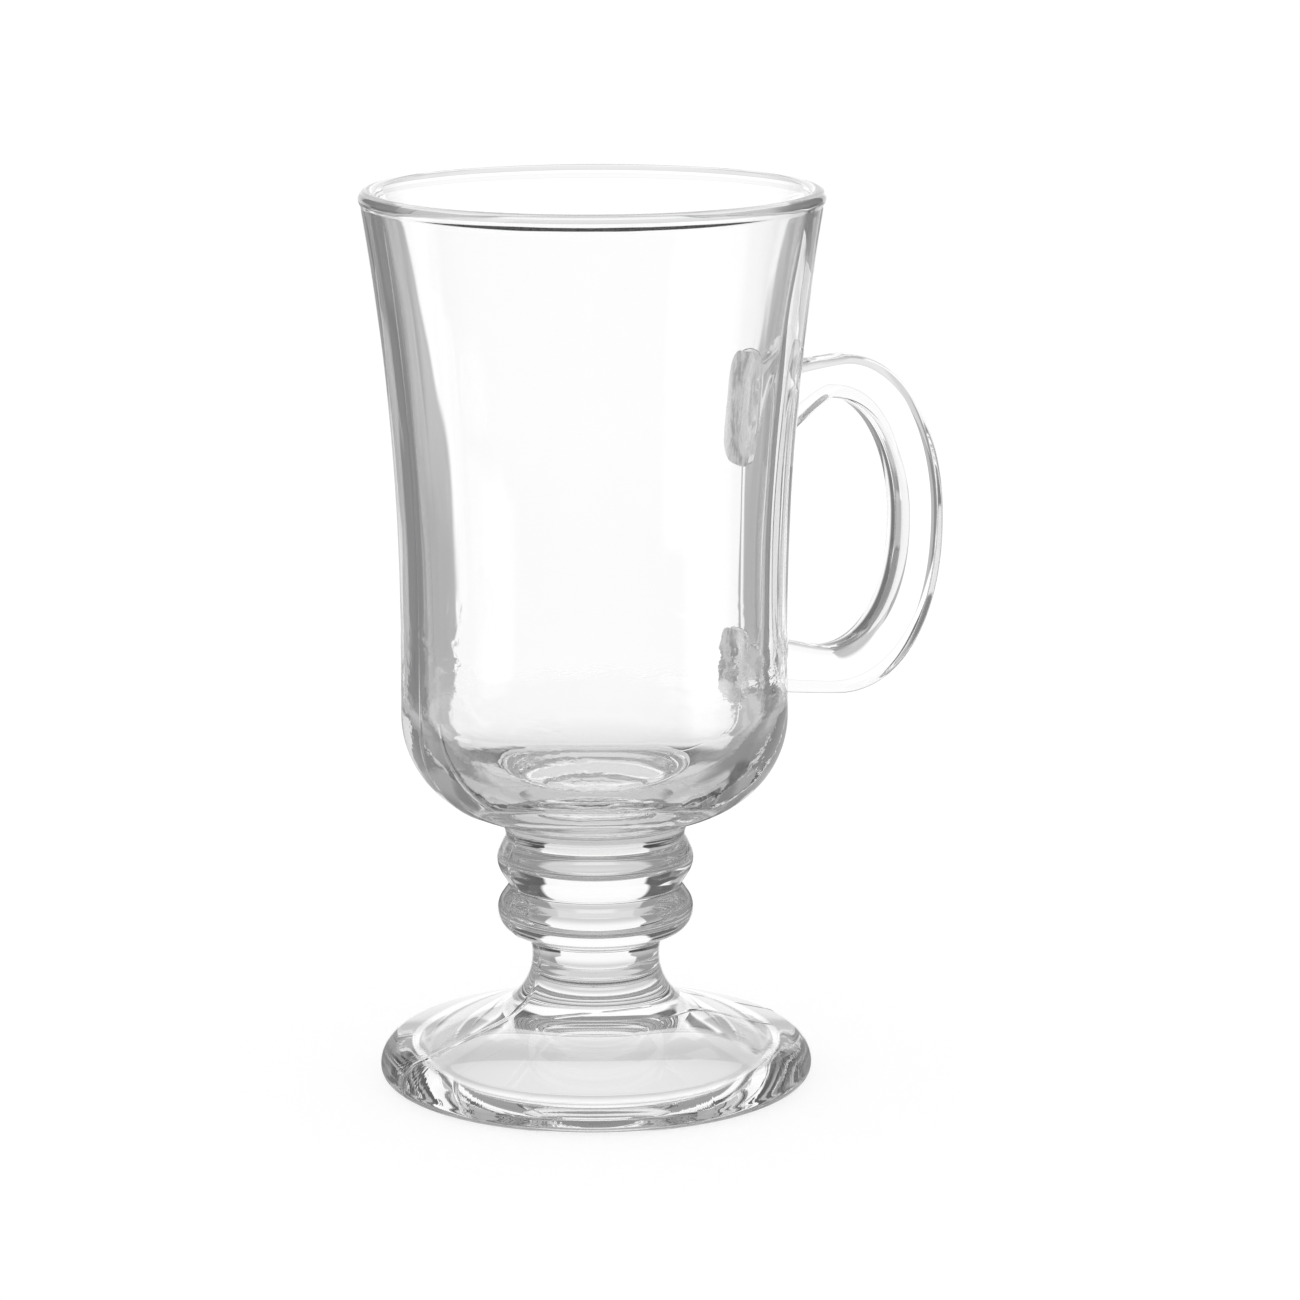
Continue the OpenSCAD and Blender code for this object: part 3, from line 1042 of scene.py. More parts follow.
# Shader maths

class Value:
    """A socket in a node tree, with the arithmetic that adds Math nodes."""

    def __init__(self, graph: "Graph", socket: bpy.types.NodeSocket) -> None:
        """Wrap a socket of a graph."""
        self.graph = graph
        self.socket = socket

    def math(self, operation: str, *others: "Value | float") -> "Value":
        """Apply a Math operation to this value and the others.

        Args:
            operation: the operation.
            others: its other operands.

        Returns:
            The result.
        """
        return self.graph.add("ShaderNodeMath", {"operation": operation}, {
            i: part for i, part in enumerate((self, *others))
        })

    def __add__(self, other: "Value | float") -> "Value":
        """Add."""
        return self.math("ADD", other)

    def __radd__(self, other: "Value | float") -> "Value":
        """Add, with a plain number on the left."""
        return self.math("ADD", other)

    def __sub__(self, other: "Value | float") -> "Value":
        """Subtract."""
        return self.math("SUBTRACT", other)

    def __rsub__(self, other: float) -> "Value":
        """Subtract this from a plain number."""
        return self.math("MULTIPLY", -1.0).math("ADD", other)

    def __mul__(self, other: "Value | float") -> "Value":
        """Multiply."""
        return self.math("MULTIPLY", other)

    def __rmul__(self, other: "Value | float") -> "Value":
        """Multiply, with a plain number on the left."""
        return self.math("MULTIPLY", other)

    def __truediv__(self, other: "Value | float") -> "Value":
        """Divide."""
        return self.math("DIVIDE", other)

    def __pow__(self, power: float) -> "Value":
        """Raise to a power."""
        return self.math("POWER", power)

    def __abs__(self) -> "Value":
        """Drop the sign."""
        return self.math("ABSOLUTE")

    def above(self, limit: "Value | float") -> "Value":
        """Return 1 where this is greater than the limit, and 0 elsewhere."""
        return self.math("GREATER_THAN", limit)

    def below(self, limit: "Value | float") -> "Value":
        """Return 1 where this is less than the limit, and 0 elsewhere."""
        return self.math("LESS_THAN", limit)

    def most(self, other: "Value | float") -> "Value":
        """Return the greater of the two."""
        return self.math("MAXIMUM", other)

    def ramp(self, low: float, high: float) -> "Value":
        """Rise smoothly from 0 where this is low to 1 where it is high.

        Args:
            low: where it is 0.
            high: where it is 1. It may be the smaller of the two.

        Returns:
            The rise.
        """
        settings = {"interpolation_type": "SMOOTHSTEP", "clamp": True}
        if low < high:
            ends = {"Value": self, "From Min": low, "From Max": high}
            return self.graph.add("ShaderNodeMapRange", settings, ends)
        return 1.0 - self.ramp(high, low)


class Graph:
    """A node tree that is filled from Python expressions."""

    def __init__(self, tree: bpy.types.NodeTree) -> None:
        """Empty the tree."""
        self.tree = tree
        tree.nodes.clear()

    def add(self, kind: str, settings: dict | None = None, inputs: dict | None = None,
            output: int | str = 0) -> Value:
        """Add a node.

        Args:
            kind: the node's type.
            settings: its own settings, set first.
            inputs: values or links of its sockets, by name or number.
            output: the socket to return.

        Returns:
            The wrapped output socket.
        """
        node = self.tree.nodes.new(kind)
        for name, value in (settings or {}).items():
            setattr(node, name, value)
        for name, value in (inputs or {}).items():
            if isinstance(value, Value):
                self.tree.links.new(value.socket, node.inputs[name])
            else:
                node.inputs[name].default_value = value
        return Value(self, node.outputs[output])

    def place(self) -> tuple[Value, Value, Value, Value]:
        """Read the Object coordinates.

        Returns:
            The coordinates as a vector, and their three numbers.
        """
        vector = self.add("ShaderNodeTexCoord", output="Object")
        parts = self.add("ShaderNodeSeparateXYZ", inputs={0: vector})
        return (vector, *(Value(self, parts.socket.node.outputs[i]) for i in range(3)))

    def girth(self, x: Value, y: Value, z: Value) -> Value:
        """Return a vector of the way around the axis, the distance from it and the level."""
        around = y.math("ARCTAN2", x) * GIRTH_R
        return self.add("ShaderNodeCombineXYZ", inputs={0: around, 1: self.from_axis(x, y), 2: z})

    @staticmethod
    def from_axis(x: Value, y: Value) -> Value:
        """Return the distance from the axis."""
        return (x * x + y * y) ** 0.5

    def noise(self, vector: Value, scale: float, detail: float = 2.0,
              stretch: tuple[float, float, float] = (1.0, 1.0, 1.0)) -> Value:
        """Make a noise on a vector that a Mapping node stretches.

        Args:
            vector: the vector.
            scale: how many times to a metre the noise changes.
            detail: its octaves.
            stretch: how much closer it changes along the three directions.

        Returns:
            The noise, in 0 to 1.
        """
        mapped = self.add("ShaderNodeMapping", inputs={"Vector": vector, "Scale": stretch})
        return self.add("ShaderNodeTexNoise", {"noise_dimensions": "3D"}, {
            "Vector": mapped, "Scale": scale, "Detail": detail,
        })

    def is_ray(self, *kinds: str) -> Value:
        """Tell rays apart.

        Args:
            kinds: kinds of ray, as Light Path names them.

        Returns:
            1 for rays of any of these kinds, and 0 for others.
        """
        found = [self.add("ShaderNodeLightPath", output=f"Is {kind} Ray") for kind in kinds]
        total = found[0]
        for other in found[1:]:
            total = total.most(other)
        return total

    def mix_shaders(self, factor: Value, first: Value, second: Value) -> Value:
        """Mix two shaders."""
        return self.add("ShaderNodeMixShader", inputs={0: factor, 1: first, 2: second})

    def clear(self, share: float = 1.0) -> Value:
        """Return a shader that lets a share of the light straight through."""
        return self.add("ShaderNodeBsdfTransparent", inputs={"Color": (share, share, share, 1.0)})

    def glow(self, level: "Value | float") -> Value:
        """Return a shader that gives white light of this level."""
        colour = level if isinstance(level, Value) else (level, level, level, 1.0)
        return self.add("ShaderNodeEmission", inputs={"Color": colour, "Strength": 1.0})

    def faded(self, cover: Value, shader: Value) -> Value:
        """Let a shader show where the cover is 1, and what lies behind it where the cover is 0."""
        return self.mix_shaders(cover, self.clear(), shader)

    def finish(self, kind: str, shader: Value) -> None:
        """Make the tree's output node and link a shader to it."""
        node = self.tree.nodes.new(kind)
        self.tree.links.new(shader.socket, node.inputs["Surface"])


# Finishes

class Finish(ABC):
    """Something that can be made a material."""

    @abstractmethod
    def material(self) -> bpy.types.Material:
        """Build the material."""

    @staticmethod
    def blank(name: str) -> tuple[bpy.types.Material, Graph]:
        """Make a new material.

        Args:
            name: its name.

        Returns:
            The material and its empty graph.
        """
        made = bpy.data.materials.new(name)
        made.use_nodes = True
        return made, Graph(made.node_tree)


@dataclass(frozen=True)
class Ripple:
    """One kind of unevenness in a glass surface: a noise between two levels, all over or in patches.

    Attributes:
        depth: its depth in metres.
        scale: how many waves to a metre.
        stretch: how much closer the waves lie along the three directions.
        detail: octaves of the noise.
        low: level above which it shows.
        high: level below which it shows.
        fade: how softly it sets in at these levels.
        patches: how many patches to a metre, or 0 where it shows all over.
        cover: between which levels of the patch noise it sets in.
        around: run the waves around the axis, so that x counts along the girth and y counts outwards.
        far: distance from the axis up to which it shows.
    """

    depth: float
    scale: float
    stretch: tuple[float, float, float] = (1.0, 1.0, 1.0)
    detail: float = 1.0
    low: float = -1.0
    high: float = 1.0
    fade: float = 0.004
    patches: float = 0.0
    cover: tuple[float, float] = (0.46, 0.56)
    around: bool = False
    far: float = 1.0

    def height(self, graph: "Graph") -> Value:
        """Work out the height that it adds to the surface: its depth times the noise, where it shows.

        Args:
            graph: the material's node tree.

        Returns:
            The height at each point.
        """
        vector, x, y, z = graph.place()
        base = graph.girth(x, y, z) if self.around else vector
        wave = graph.noise(base, self.scale, self.detail, self.stretch) * self.depth
        wave = wave * z.ramp(self.low - self.fade, self.low + self.fade)
        wave = wave * z.ramp(self.high + self.fade, self.high - self.fade)
        if self.far < 1.0:
            wave = wave * graph.from_axis(x, y).ramp(self.far + self.fade, self.far - self.fade)
        if self.patches:
            wave = wave * graph.noise(vector, self.patches, 1.0).ramp(*self.cover)
        return wave


@dataclass(frozen=True)
class Seat:
    """Where the handle is fused to the bowl.

    Attributes:
        middle: level of its middle.
        tall: half its height.
        thick: half its thickness.
        power: squareness of its outline.
    """

    middle: float
    tall: float
    thick: float
    power: float = 4.0

    def cover(self, x: Value, y: Value, z: Value) -> Value:
        """Return 1 where |y / thick|^n + |(z - middle) / tall|^n is under 1 and x is positive."""
        total = abs(y / self.thick) ** self.power + abs((z - self.middle) / self.tall) ** self.power
        return total.below(1.0) * x.above(0.0)


class PaintedShade(ABC):
    """A place in a piece of glass with painted shade: it lets less of the light through than the rest."""

    @abstractmethod
    def taken(self, graph: Graph) -> Value:
        """Return the share of the light that it takes at each point."""


@dataclass(frozen=True)
class PaintedBaseShade(PaintedShade):
    """Painted shade on the thick glass at the bowl's underside: the glass is made to let less light through
    there.

    Attributes:
        share: the share of the light that it takes.
        start_r: distance from the axis of one point on its upper limit.
        start_h: level of that point.
        slope: how far the limit climbs for each metre outwards.
        soft: how softly it sets in.
    """

    share: float = 0.28
    start_r: float = 0.015
    start_h: float = 0.0478
    slope: float = 0.45
    soft: float = 0.004

    def taken(self, graph: Graph) -> Value:
        """Return the share where z is under start_h + slope * (r - start_r), and 0 above that.

        Args:
            graph: the material's node tree.

        Returns:
            The share at each point.
        """
        _, x, y, z = graph.place()
        limit = (graph.from_axis(x, y) - self.start_r) * self.slope + self.start_h
        return (limit - z).ramp(0.0, self.soft) * self.share


@dataclass(frozen=True)
class PaintedCreaseShade(PaintedShade):
    """Painted shade: a fine dark line where the front of the wall leaves the rim bead. It runs out towards
    both ends.

    Attributes:
        level: its level.
        half_width: about half its width at the front.
        soft: width of its soft edges.
        share: the share of the light that it takes.
        outside: distance from the axis past which it shows, so that only the outer face has it.
        ends: how far towards the main view it starts, and how far it has its full width.
        waves: how many times to a metre its width changes.
    """

    level: float
    half_width: float = 0.00034
    soft: float = 0.00008
    share: float = 0.994
    outside: float = 0.0365
    ends: tuple[float, float] = (0.0225, 0.0365)
    waves: float = 60.0

    def taken(self, graph: Graph) -> Value:
        """Return the share where |z - level| is under half_width * taper * (0.5 + noise), and 0 elsewhere.

        Args:
            graph: the material's node tree.

        Returns:
            The share at each point.
        """
        vector, x, y, z = graph.place()
        front = math.radians(MAIN_VIEW + 180.0)
        taper = (x * math.cos(front) + y * math.sin(front)).ramp(*self.ends)
        half = taper * (0.5 + graph.noise(vector, self.waves)) * self.half_width
        line = (half - abs(z - self.level)).ramp(0.0, self.soft)
        return line * graph.from_axis(x, y).above(self.outside) * self.share


@dataclass(frozen=True)
class Glass(Finish):
    """Clear pressed glass, fire-polished, with the unevenness that the mould leaves.

    Attributes:
        name: the material's name.
        ripples: its unevenness.
        tint: what one surface lets through.
        ior: refractive index.
        shade: what a surface lets through of the light that falls on the floor behind it.
        escape: number of bounces after which light that is caught in the glass gets out.
        kept: what a surface lets through of that light.
        painted_shades: places with painted shade, which let less of the light through.
        seats: where something is fused to the outside of this piece, which shows no polished face there.
        haze: how hazy the glass is there, at its clearest and at its haziest.
        haze_colour: how pale that haze is.
        haze_grain: how many times to a metre it changes.
        haze_stretch: how much closer it changes along the three directions.
        haze_steps: between which levels of its noise it goes from one to the other.
    """

    name: str
    ripples: tuple[Ripple, ...]
    tint: tuple[float, float, float] = (0.996, 0.997, 0.9965)
    ior: float = 1.52
    shade: float = 0.93
    escape: float = 7.0
    kept: float = 0.93
    painted_shades: tuple[PaintedShade, ...] = ()
    seats: tuple[Seat, ...] = ()
    haze: tuple[float, float] = (0.3, 0.85)
    haze_colour: float = 0.8
    haze_grain: float = 700.0
    haze_stretch: tuple[float, float, float] = (1.0, 1.0, 0.5)
    haze_steps: tuple[float, float] = (0.35, 0.65)

    def material(self) -> bpy.types.Material:
        """Build the material: refracting glass for the eye, thin plain shade for light that makes shadows.

        Returns:
            The material.
        """
        made, graph = self.blank(self.name)
        bump = self.unevenness(graph)
        body = graph.add("ShaderNodeBsdfPrincipled", inputs={
            "Base Color": self.colour(graph),
            "Roughness": 0.0,
            "IOR": self.ior,
            "Transmission Weight": 1.0,
            "Normal": bump,
        })
        caught = graph.add("ShaderNodeLightPath", output="Ray Depth").above(self.escape)
        seen = graph.mix_shaders(caught, body, graph.clear(self.kept))
        shader = graph.mix_shaders(graph.is_ray("Shadow", "Diffuse"), seen, graph.clear(self.shade))
        if self.seats:
            shader = self.seated(graph, shader, bump)
        graph.finish("ShaderNodeOutputMaterial", shader)
        return made

    def unevenness(self, graph: Graph) -> Value:
        """Return the bump that all ripples make together."""
        height = sum((ripple.height(graph) for ripple in self.ripples[1:]), self.ripples[0].height(graph))
        return graph.add("ShaderNodeBump", inputs={"Strength": 1.0, "Distance": 1.0, "Height": height})

    def colour(self, graph: Graph) -> Value | tuple[float, float, float, float]:
        """Return what the surface lets through: the tint, times 1 - taken for each place of painted shade.

        Args:
            graph: the material's node tree.

        Returns:
            The plain colour, or the value that works it out.
        """
        if not self.painted_shades:
            return (*self.tint, 1.0)
        scale = math.prod(1.0 - place.taken(graph) for place in self.painted_shades)
        return graph.add("ShaderNodeVectorMath", {"operation": "SCALE"}, {0: self.tint, "Scale": scale})

    def seated(self, graph: Graph, shader: Value, bump: Value) -> Value:
        """Show a mottled haze instead of a polished face at the seats.

        Args:
            graph: the material's node tree.
            shader: what the rest of the surface shows.
            bump: the surface's unevenness.

        Returns:
            The shader of the whole surface.
        """
        vector, x, y, z = graph.place()
        pale = (self.haze_colour,) * 3 + (1.0,)
        fog = graph.add("ShaderNodeBsdfDiffuse", inputs={"Color": pale, "Normal": bump})
        low, high = self.haze
        grain = graph.noise(vector, self.haze_grain, 3.0, self.haze_stretch).ramp(*self.haze_steps)
        mottled = graph.mix_shaders(low + grain * (high - low), graph.clear(), fog)
        cover = self.seats[0].cover(x, y, z)
        for seat in self.seats[1:]:
            cover = cover.most(seat.cover(x, y, z))
        return graph.mix_shaders(cover, shader, mottled)


@dataclass(frozen=True)
class FusedFace(Finish):
    """A face inside the fused glass, where nothing shows.

    Attributes:
        name: the material's name.
    """

    name: str = "fused_face"

    def material(self) -> bpy.types.Material:
        """Build a material that lets everything through unchanged.

        Returns:
            The material.
        """
        made, graph = self.blank(self.name)
        graph.finish("ShaderNodeOutputMaterial", graph.clear())
        return made


@dataclass(frozen=True)
class PaleFloor(Finish):
    """A plain white table that keeps the shadow of the glass.

    Attributes:
        name: the material's name.
        colour: how white it is.
        lift: what the camera sees on top of the light that it gives back.
        grain: how many times to a metre its fine unevenness changes.
        grain_depth: the depth of that unevenness.
        grain_strength: how much of it the light shows.
    """

    name: str = "pale_floor"
    colour: float = 0.9
    lift: float = 0.18
    grain: float = 900.0
    grain_depth: float = 0.0002
    grain_strength: float = 0.05

    def material(self) -> bpy.types.Material:
        """Build a matt white whose level is lifted for the camera, so that it meets the white background.

        Returns:
            The material.
        """
        made, graph = self.blank(self.name)
        vector, *_ = graph.place()
        bump = graph.add("ShaderNodeBump", inputs={
            "Strength": self.grain_strength,
            "Distance": self.grain_depth,
            "Height": graph.noise(vector, self.grain, 3.0),
        })
        white = (self.colour,) * 3 + (1.0,)
        matt = graph.add("ShaderNodeBsdfDiffuse", inputs={"Color": white, "Normal": bump})
        glow = graph.glow(graph.is_ray("Camera") * self.lift)
        graph.finish("ShaderNodeOutputMaterial", graph.add("ShaderNodeAddShader", inputs={0: matt, 1: glow}))
        return made


# The studio

@dataclass(frozen=True)
class Rise:
    """A smooth rise by an amount between two levels. The first level may be the higher one.

    Attributes:
        start: level at which it starts.
        end: level at which it is over.
        amount: the whole rise.
    """

    start: float
    end: float
    amount: float

    def at(self, z: Value) -> Value:
        """Return how far it has come at a level."""
        return z.ramp(self.start, self.end) * self.amount


@dataclass(frozen=True)
class BentCard(ABC):
    """An upright card on a circle, at (cx + r cos a, cy + r sin a, z), whose light only glass shows.

    Attributes:
        name: the card's name.
        centre: centre of the circle.
        radius: radius of the circle.
        levels: height of its lower and upper edge.
        reach: its two ends, in degrees from the main view's direction.
        columns: number of points along it.
    """

    name: str
    centre: tuple[float, float]
    radius: float
    levels: tuple[float, float]
    reach: tuple[float, float]
    columns: int = 97

    @abstractmethod
    def light(self, graph: Graph) -> Value:
        """Return the shader of the card's light."""

    @staticmethod
    def aside(x: Value, y: Value, middle: float = MAIN_VIEW) -> Value:
        """Return how many degrees a point lies to either side of a direction, as the axis sees it."""
        return abs(LightTent.turned(y.math("ARCTAN2", x), middle))

    def build(self) -> None:
        """Make the card. The camera and matt things don't see it, and it makes no shadow."""
        made, graph = Finish.blank(self.name)
        graph.finish("ShaderNodeOutputMaterial", self.light(graph))
        angle = np.radians(MAIN_VIEW + np.linspace(*self.reach, self.columns))[:, None]
        height = np.array(self.levels)[None, :]
        x = self.centre[0] + self.radius * np.cos(angle)
        y = self.centre[1] + self.radius * np.sin(angle)
        points = np.stack(np.broadcast_arrays(x, y, height), -1)
        quads = np.arange(len(angle) - 1)[:, None] * 2 + np.array([[0, 2, 3, 1]])
        mesh = bpy.data.meshes.new(self.name)
        mesh.from_pydata(points.reshape(-1, 3).tolist(), [], quads.tolist())
        mesh.materials.append(made)
        card = bpy.data.objects.new(self.name, mesh)
        bpy.context.scene.collection.objects.link(card)
        card.visible_camera = card.visible_diffuse = card.visible_shadow = False


@dataclass(frozen=True)
class LowCard(BentCard):
    """The card round the back of the foot: a white middle, greys beside it, and a paler lower part.

    Attributes:
        middle_half: half the width of the white middle, in degrees.
        middle_soft: half the width of its soft edge.
        spread: how much further the middle reaches at each side lower down, in degrees.
        middle_level: brightness of the middle at the bottom.
        middle_rises: what it gains on the way up.
        side_level: brightness beside the middle at the bottom.
        side_rise: what that gains on the way up.
        side_half: how far from the middle it gains that, in degrees.
        side_soft: half the width of the soft limit there.
        top_fade: height of the card's soft upper edge.
        end_fade: width of its soft ends, in degrees.
    """

    name: str = "low_card"
    centre: tuple[float, float] = (0.0, 0.0)
    radius: float = 0.13
    levels: tuple[float, float] = (-0.05, 0.043)
    reach: tuple[float, float] = (-62.0, 62.0)
    middle_half: float = 21.5
    middle_soft: float = 1.0
    spread: Rise = Rise(0.004, -0.01, 6.0)
    middle_level: float = 0.66
    middle_rises: tuple[Rise, Rise] = (Rise(-0.045, -0.005, 0.36), Rise(0.01, 0.04, 0.08))
    side_level: float = 0.32
    side_rise: Rise = Rise(-0.02, 0.012, 0.24)
    side_half: float = 56.0
    side_soft: float = 5.0
    top_fade: float = 0.01
    end_fade: float = 18.0

    def light(self, graph: Graph) -> Value:
        """Light the middle and the sides, and let the card fade out at its top and its ends.

        Args:
            graph: the material's node tree.

        Returns:
            The shader.
        """
        _, x, y, z = graph.place()
        aside = self.aside(x, y)
        edges = (self.middle_half + self.middle_soft, self.middle_half - self.middle_soft)
        white = (aside - self.spread.at(z)).ramp(*edges)
        near = aside.ramp(self.side_half + self.side_soft, self.side_half - self.side_soft)
        side = self.side_level + self.side_rise.at(z) * near
        middle = self.middle_level + self.middle_rises[0].at(z) + self.middle_rises[1].at(z)
        top, end = self.levels[1], self.reach[1]
        cover = z.ramp(top, top - self.top_fade) * aside.ramp(end, end - self.end_fade)
        return graph.faded(cover, graph.glow(white * middle + (1.0 - white) * side))


@dataclass(frozen=True)
class StemCard(BentCard):
    """The dark card close round the back of the stem, open in the middle. It draws the ends of the knops.

    Attributes:
        turn: how far its middle lies from the main view's direction, in degrees.
        gap: where the opening ends and where the card is full, in degrees from its middle.
        dark: brightness beside the opening.
        side: brightness further out.
        side_from: between which degrees from its middle the one becomes the other.
        end_fade: width of its soft ends, in degrees.
        top_fade: height of its soft upper edge.
        low_fade: height of its soft lower edge.
    """

    name: str = "stem_card"
    centre: tuple[float, float] = (0.0, 0.0)
    radius: float = 0.045
    levels: tuple[float, float] = (0.0185, 0.0318)
    reach: tuple[float, float] = (-80.0, 80.0)
    turn: float = -0.7
    gap: tuple[float, float] = (15.2, 16.4)
    dark: float = 0.03
    side: float = 0.12
    side_from: tuple[float, float] = (27.0, 34.0)
    end_fade: float = 25.0
    top_fade: float = 0.005
    low_fade: float = 0.003

    def light(self, graph: Graph) -> Value:
        """Light the card faintly, and let it fade out at all its edges.

        Args:
            graph: the material's node tree.

        Returns:
            The shader.
        """
        _, x, y, z = graph.place()
        aside = self.aside(x, y, MAIN_VIEW + self.turn)
        level = self.dark + aside.ramp(*self.side_from) * (self.side - self.dark)
        low, top = self.levels
        end = self.reach[1]
        cover = aside.ramp(*self.gap) * aside.ramp(end, end - self.end_fade)
        cover = cover * z.ramp(top, top - self.top_fade) * z.ramp(low, low + self.low_fade)
        return graph.faded(cover, graph.glow(level))


@dataclass(frozen=True)
class HandleCard(BentCard):
    """The white card inside the curve of the handle, on the side away from the camera."""

    name: str = "handle_card"
    centre: tuple[float, float] = (0.0615, 0.0)
    radius: float = 0.02
    levels: tuple[float, float] = (0.055, 0.125)
    reach: tuple[float, float] = (-60.0, -9.0)

    def light(self, graph: Graph) -> Value:
        """Light the whole card white."""
        return graph.glow(1.0)


@dataclass(frozen=True)
class Studio:
    """The floor, the surroundings that the glass bends into view, and the cards that stand close to it.

    Attributes:
        floor_reach: half the width of the floor.
        floor_drop: how far it lies under the glass.
        fill: brightness of the surroundings for matt things.
        cards: the cards close to the glass.
    """

    floor_reach: float = 6.0
    floor_drop: float = 0.00002
    fill: float = 0.95
    cards: tuple[BentCard, ...] = (LowCard(), StemCard(), HandleCard())

    def build(self) -> None:
        """Make the studio."""
        self.floor()
        self.surroundings()
        for card in self.cards:
            card.build()

    def floor(self) -> None:
        """Make the floor as a square grid, just under the ring that the foot stands on."""
        side = np.linspace(-self.floor_reach, self.floor_reach, 3)
        x, y = np.meshgrid(side, side, indexing="ij")
        points = np.stack([x, y, np.full_like(x, -self.floor_drop)], axis=-1).reshape(-1, 3)
        corner = np.array([0, 1, 3, 4])[:, None]
        quads = corner + np.array([[0, 3, 4, 1]])
        mesh = bpy.data.meshes.new("floor")
        mesh.from_pydata(points.tolist(), [], quads.tolist())
        floor = bpy.data.objects.new("floor", mesh)
        bpy.context.scene.collection.objects.link(floor)
        floor.data.materials.append(PaleFloor().material())
        floor.visible_transmission = False
        floor.visible_glossy = False

    def surroundings(self) -> None:
        """Fill the world: white for the camera, even light for matt things, the light tent for the glass."""
        world = bpy.data.worlds.new("light_tent")
        bpy.context.scene.world = world
        world.use_nodes = True
        graph = Graph(world.node_tree)
        tent, even, white = (
            graph.add("ShaderNodeBackground", inputs={"Color": WHITE, "Strength": level})
            for level in (LightTent().level(graph), self.fill, 1.0)
        )
        lit = graph.mix_shaders(graph.is_ray("Diffuse"), tent, even)
        graph.finish("ShaderNodeOutputWorld", graph.mix_shaders(graph.is_ray("Camera"), lit, white))


@dataclass(frozen=True)
class Card:
    """A soft-edged patch of the light tent.

    Attributes:
        azimuth: direction of its middle, in degrees from +X.
        half: half its width in degrees.
        low: elevation of its lower edge in degrees.
        high: elevation of its upper edge.
        level: brightness, where 1 is white.
        edge: width of the soft edge at its sides.
        fade: width of the soft edge above and below.
    """

    azimuth: float
    half: float
    low: float
    high: float
    level: float
    edge: float = 2.0
    fade: float = 1.6

    def cover(self, azimuth: Value, elevation: Value) -> Value:
        """Tell where the card is.

        Args:
            azimuth: the direction looked in, in radians from +X.
            elevation: its elevation in degrees.

        Returns:
            1 on the card and 0 off it.
        """
        aside = abs(LightTent.turned(azimuth, self.azimuth))
        across = aside.ramp(self.half + self.edge / 2, self.half - self.edge / 2)
        under = elevation.ramp(self.low - self.fade / 2, self.low + self.fade / 2)
        over = elevation.ramp(self.high + self.fade / 2, self.high - self.fade / 2)
        return across * under * over


@dataclass(frozen=True)
class LightTent:
    """What surrounds the glass, as a brightness for each direction: grey walls, white cards and dark flags.

    The cards are laid over each other in order. The main ones stand behind the glass as the photograph sees
    it, with flags at both sides that draw its dark edges. The others give it a white ground from its other
    sides.

    Attributes:
        cards: the cards.
        ground: brightness where there is none.
    """

    cards: tuple[Card, ...] = (
        Card(62.0, 180.0, -95.0, -18.0, 0.31),
        Card(62.0, 30.0, -95.0, -16.0, 0.7, 12.0),
        Card(62.0, 12.0, -60.0, -20.0, 0.85, 8.0, 8.0),
        Card(62.0, 180.0, -95.0, -50.0, 0.68, 2.0, 12.0),
        Card(62.0, 180.0, 30.0, 95.0, 0.48, 2.0, 10.0),
        Card(62.0, 180.0, 50.0, 95.0, 0.72, 2.0, 10.0),
        Card(62.0, 110.0, -5.0, 32.0, 0.3, 20.0, 4.0),
        Card(62.0, 47.0, -5.0, 30.0, 0.1, 5.0, 4.0),
        Card(62.0, 180.0, -17.0, -4.6, 0.22),
        Card(62.0, 150.0, -17.0, -4.6, 0.25, 10.0),
        Card(298.0, 27.0, -17.0, -4.6, 0.16, 10.0),
        Card(62.0, 84.0, -17.0, -5.4, 0.5, 20.0),
        Card(62.0, 37.0, -17.0, -5.4, 0.22, 8.0),
        Card(62.0, 50.0, -17.0, -9.5, 0.22, 8.0),
        Card(62.0, 22.0, -17.0, -5.4, 0.47, 5.0),
        Card(25.0, 13.0, -8.2, -5.4, 0.1, 4.0, 1.2),
        Card(44.5, 4.5, -8.4, -5.4, 0.9, 3.0, 1.2),
        Card(104.0, 6.0, -8.2, -5.4, 0.9, 3.0, 1.2),
        Card(60.9, 12.4, -19.0, -5.4, 1.12, 1.6),
        Card(62.0, 34.0, 34.0, 60.0, 0.3, 8.0, 6.0),
        Card(62.0, 24.5, -5.4, 34.0, 1.04, 3.0, 1.6),
        Card(90.0, 13.0, -5.4, 3.0, 1.1, 6.0),
        Card(180.0, 13.0, -9.0, 8.0, 1.1, 6.0),
        Card(135.0, 13.0, -33.0, -15.0, 1.1, 6.0),
        Card(315.0, 13.0, -24.0, -6.0, 1.1, 6.0),
    )
    ground: float = 0.28

    @staticmethod
    def turned(azimuth: Value, middle: float) -> Value:
        """Return an azimuth in radians as degrees from a middle direction, between -180 and 180."""
        degrees = azimuth * math.degrees(1.0) - middle
        return degrees.math("WRAP", 180.0, -180.0)

    def level(self, graph: Graph) -> Value:
        """Lay the cards over the ground: the level becomes level * (1 - cover) + cover * card for each card.

        Args:
            graph: the world's node tree.

        Returns:
            The brightness in the direction that is looked in.
        """
        direction = graph.add("ShaderNodeTexCoord", output="Generated")
        parts = graph.add("ShaderNodeSeparateXYZ", inputs={0: direction})
        x, y, z = (Value(graph, parts.socket.node.outputs[i]) for i in range(3))
        azimuth = y.math("ARCTAN2", x)
        elevation = z.math("ARCSINE") * math.degrees(1.0)
        level: Value | float = self.ground
        for card in self.cards:
            cover = card.cover(azimuth, elevation)
            level = level * (1.0 - cover) + cover * card.level
        return level


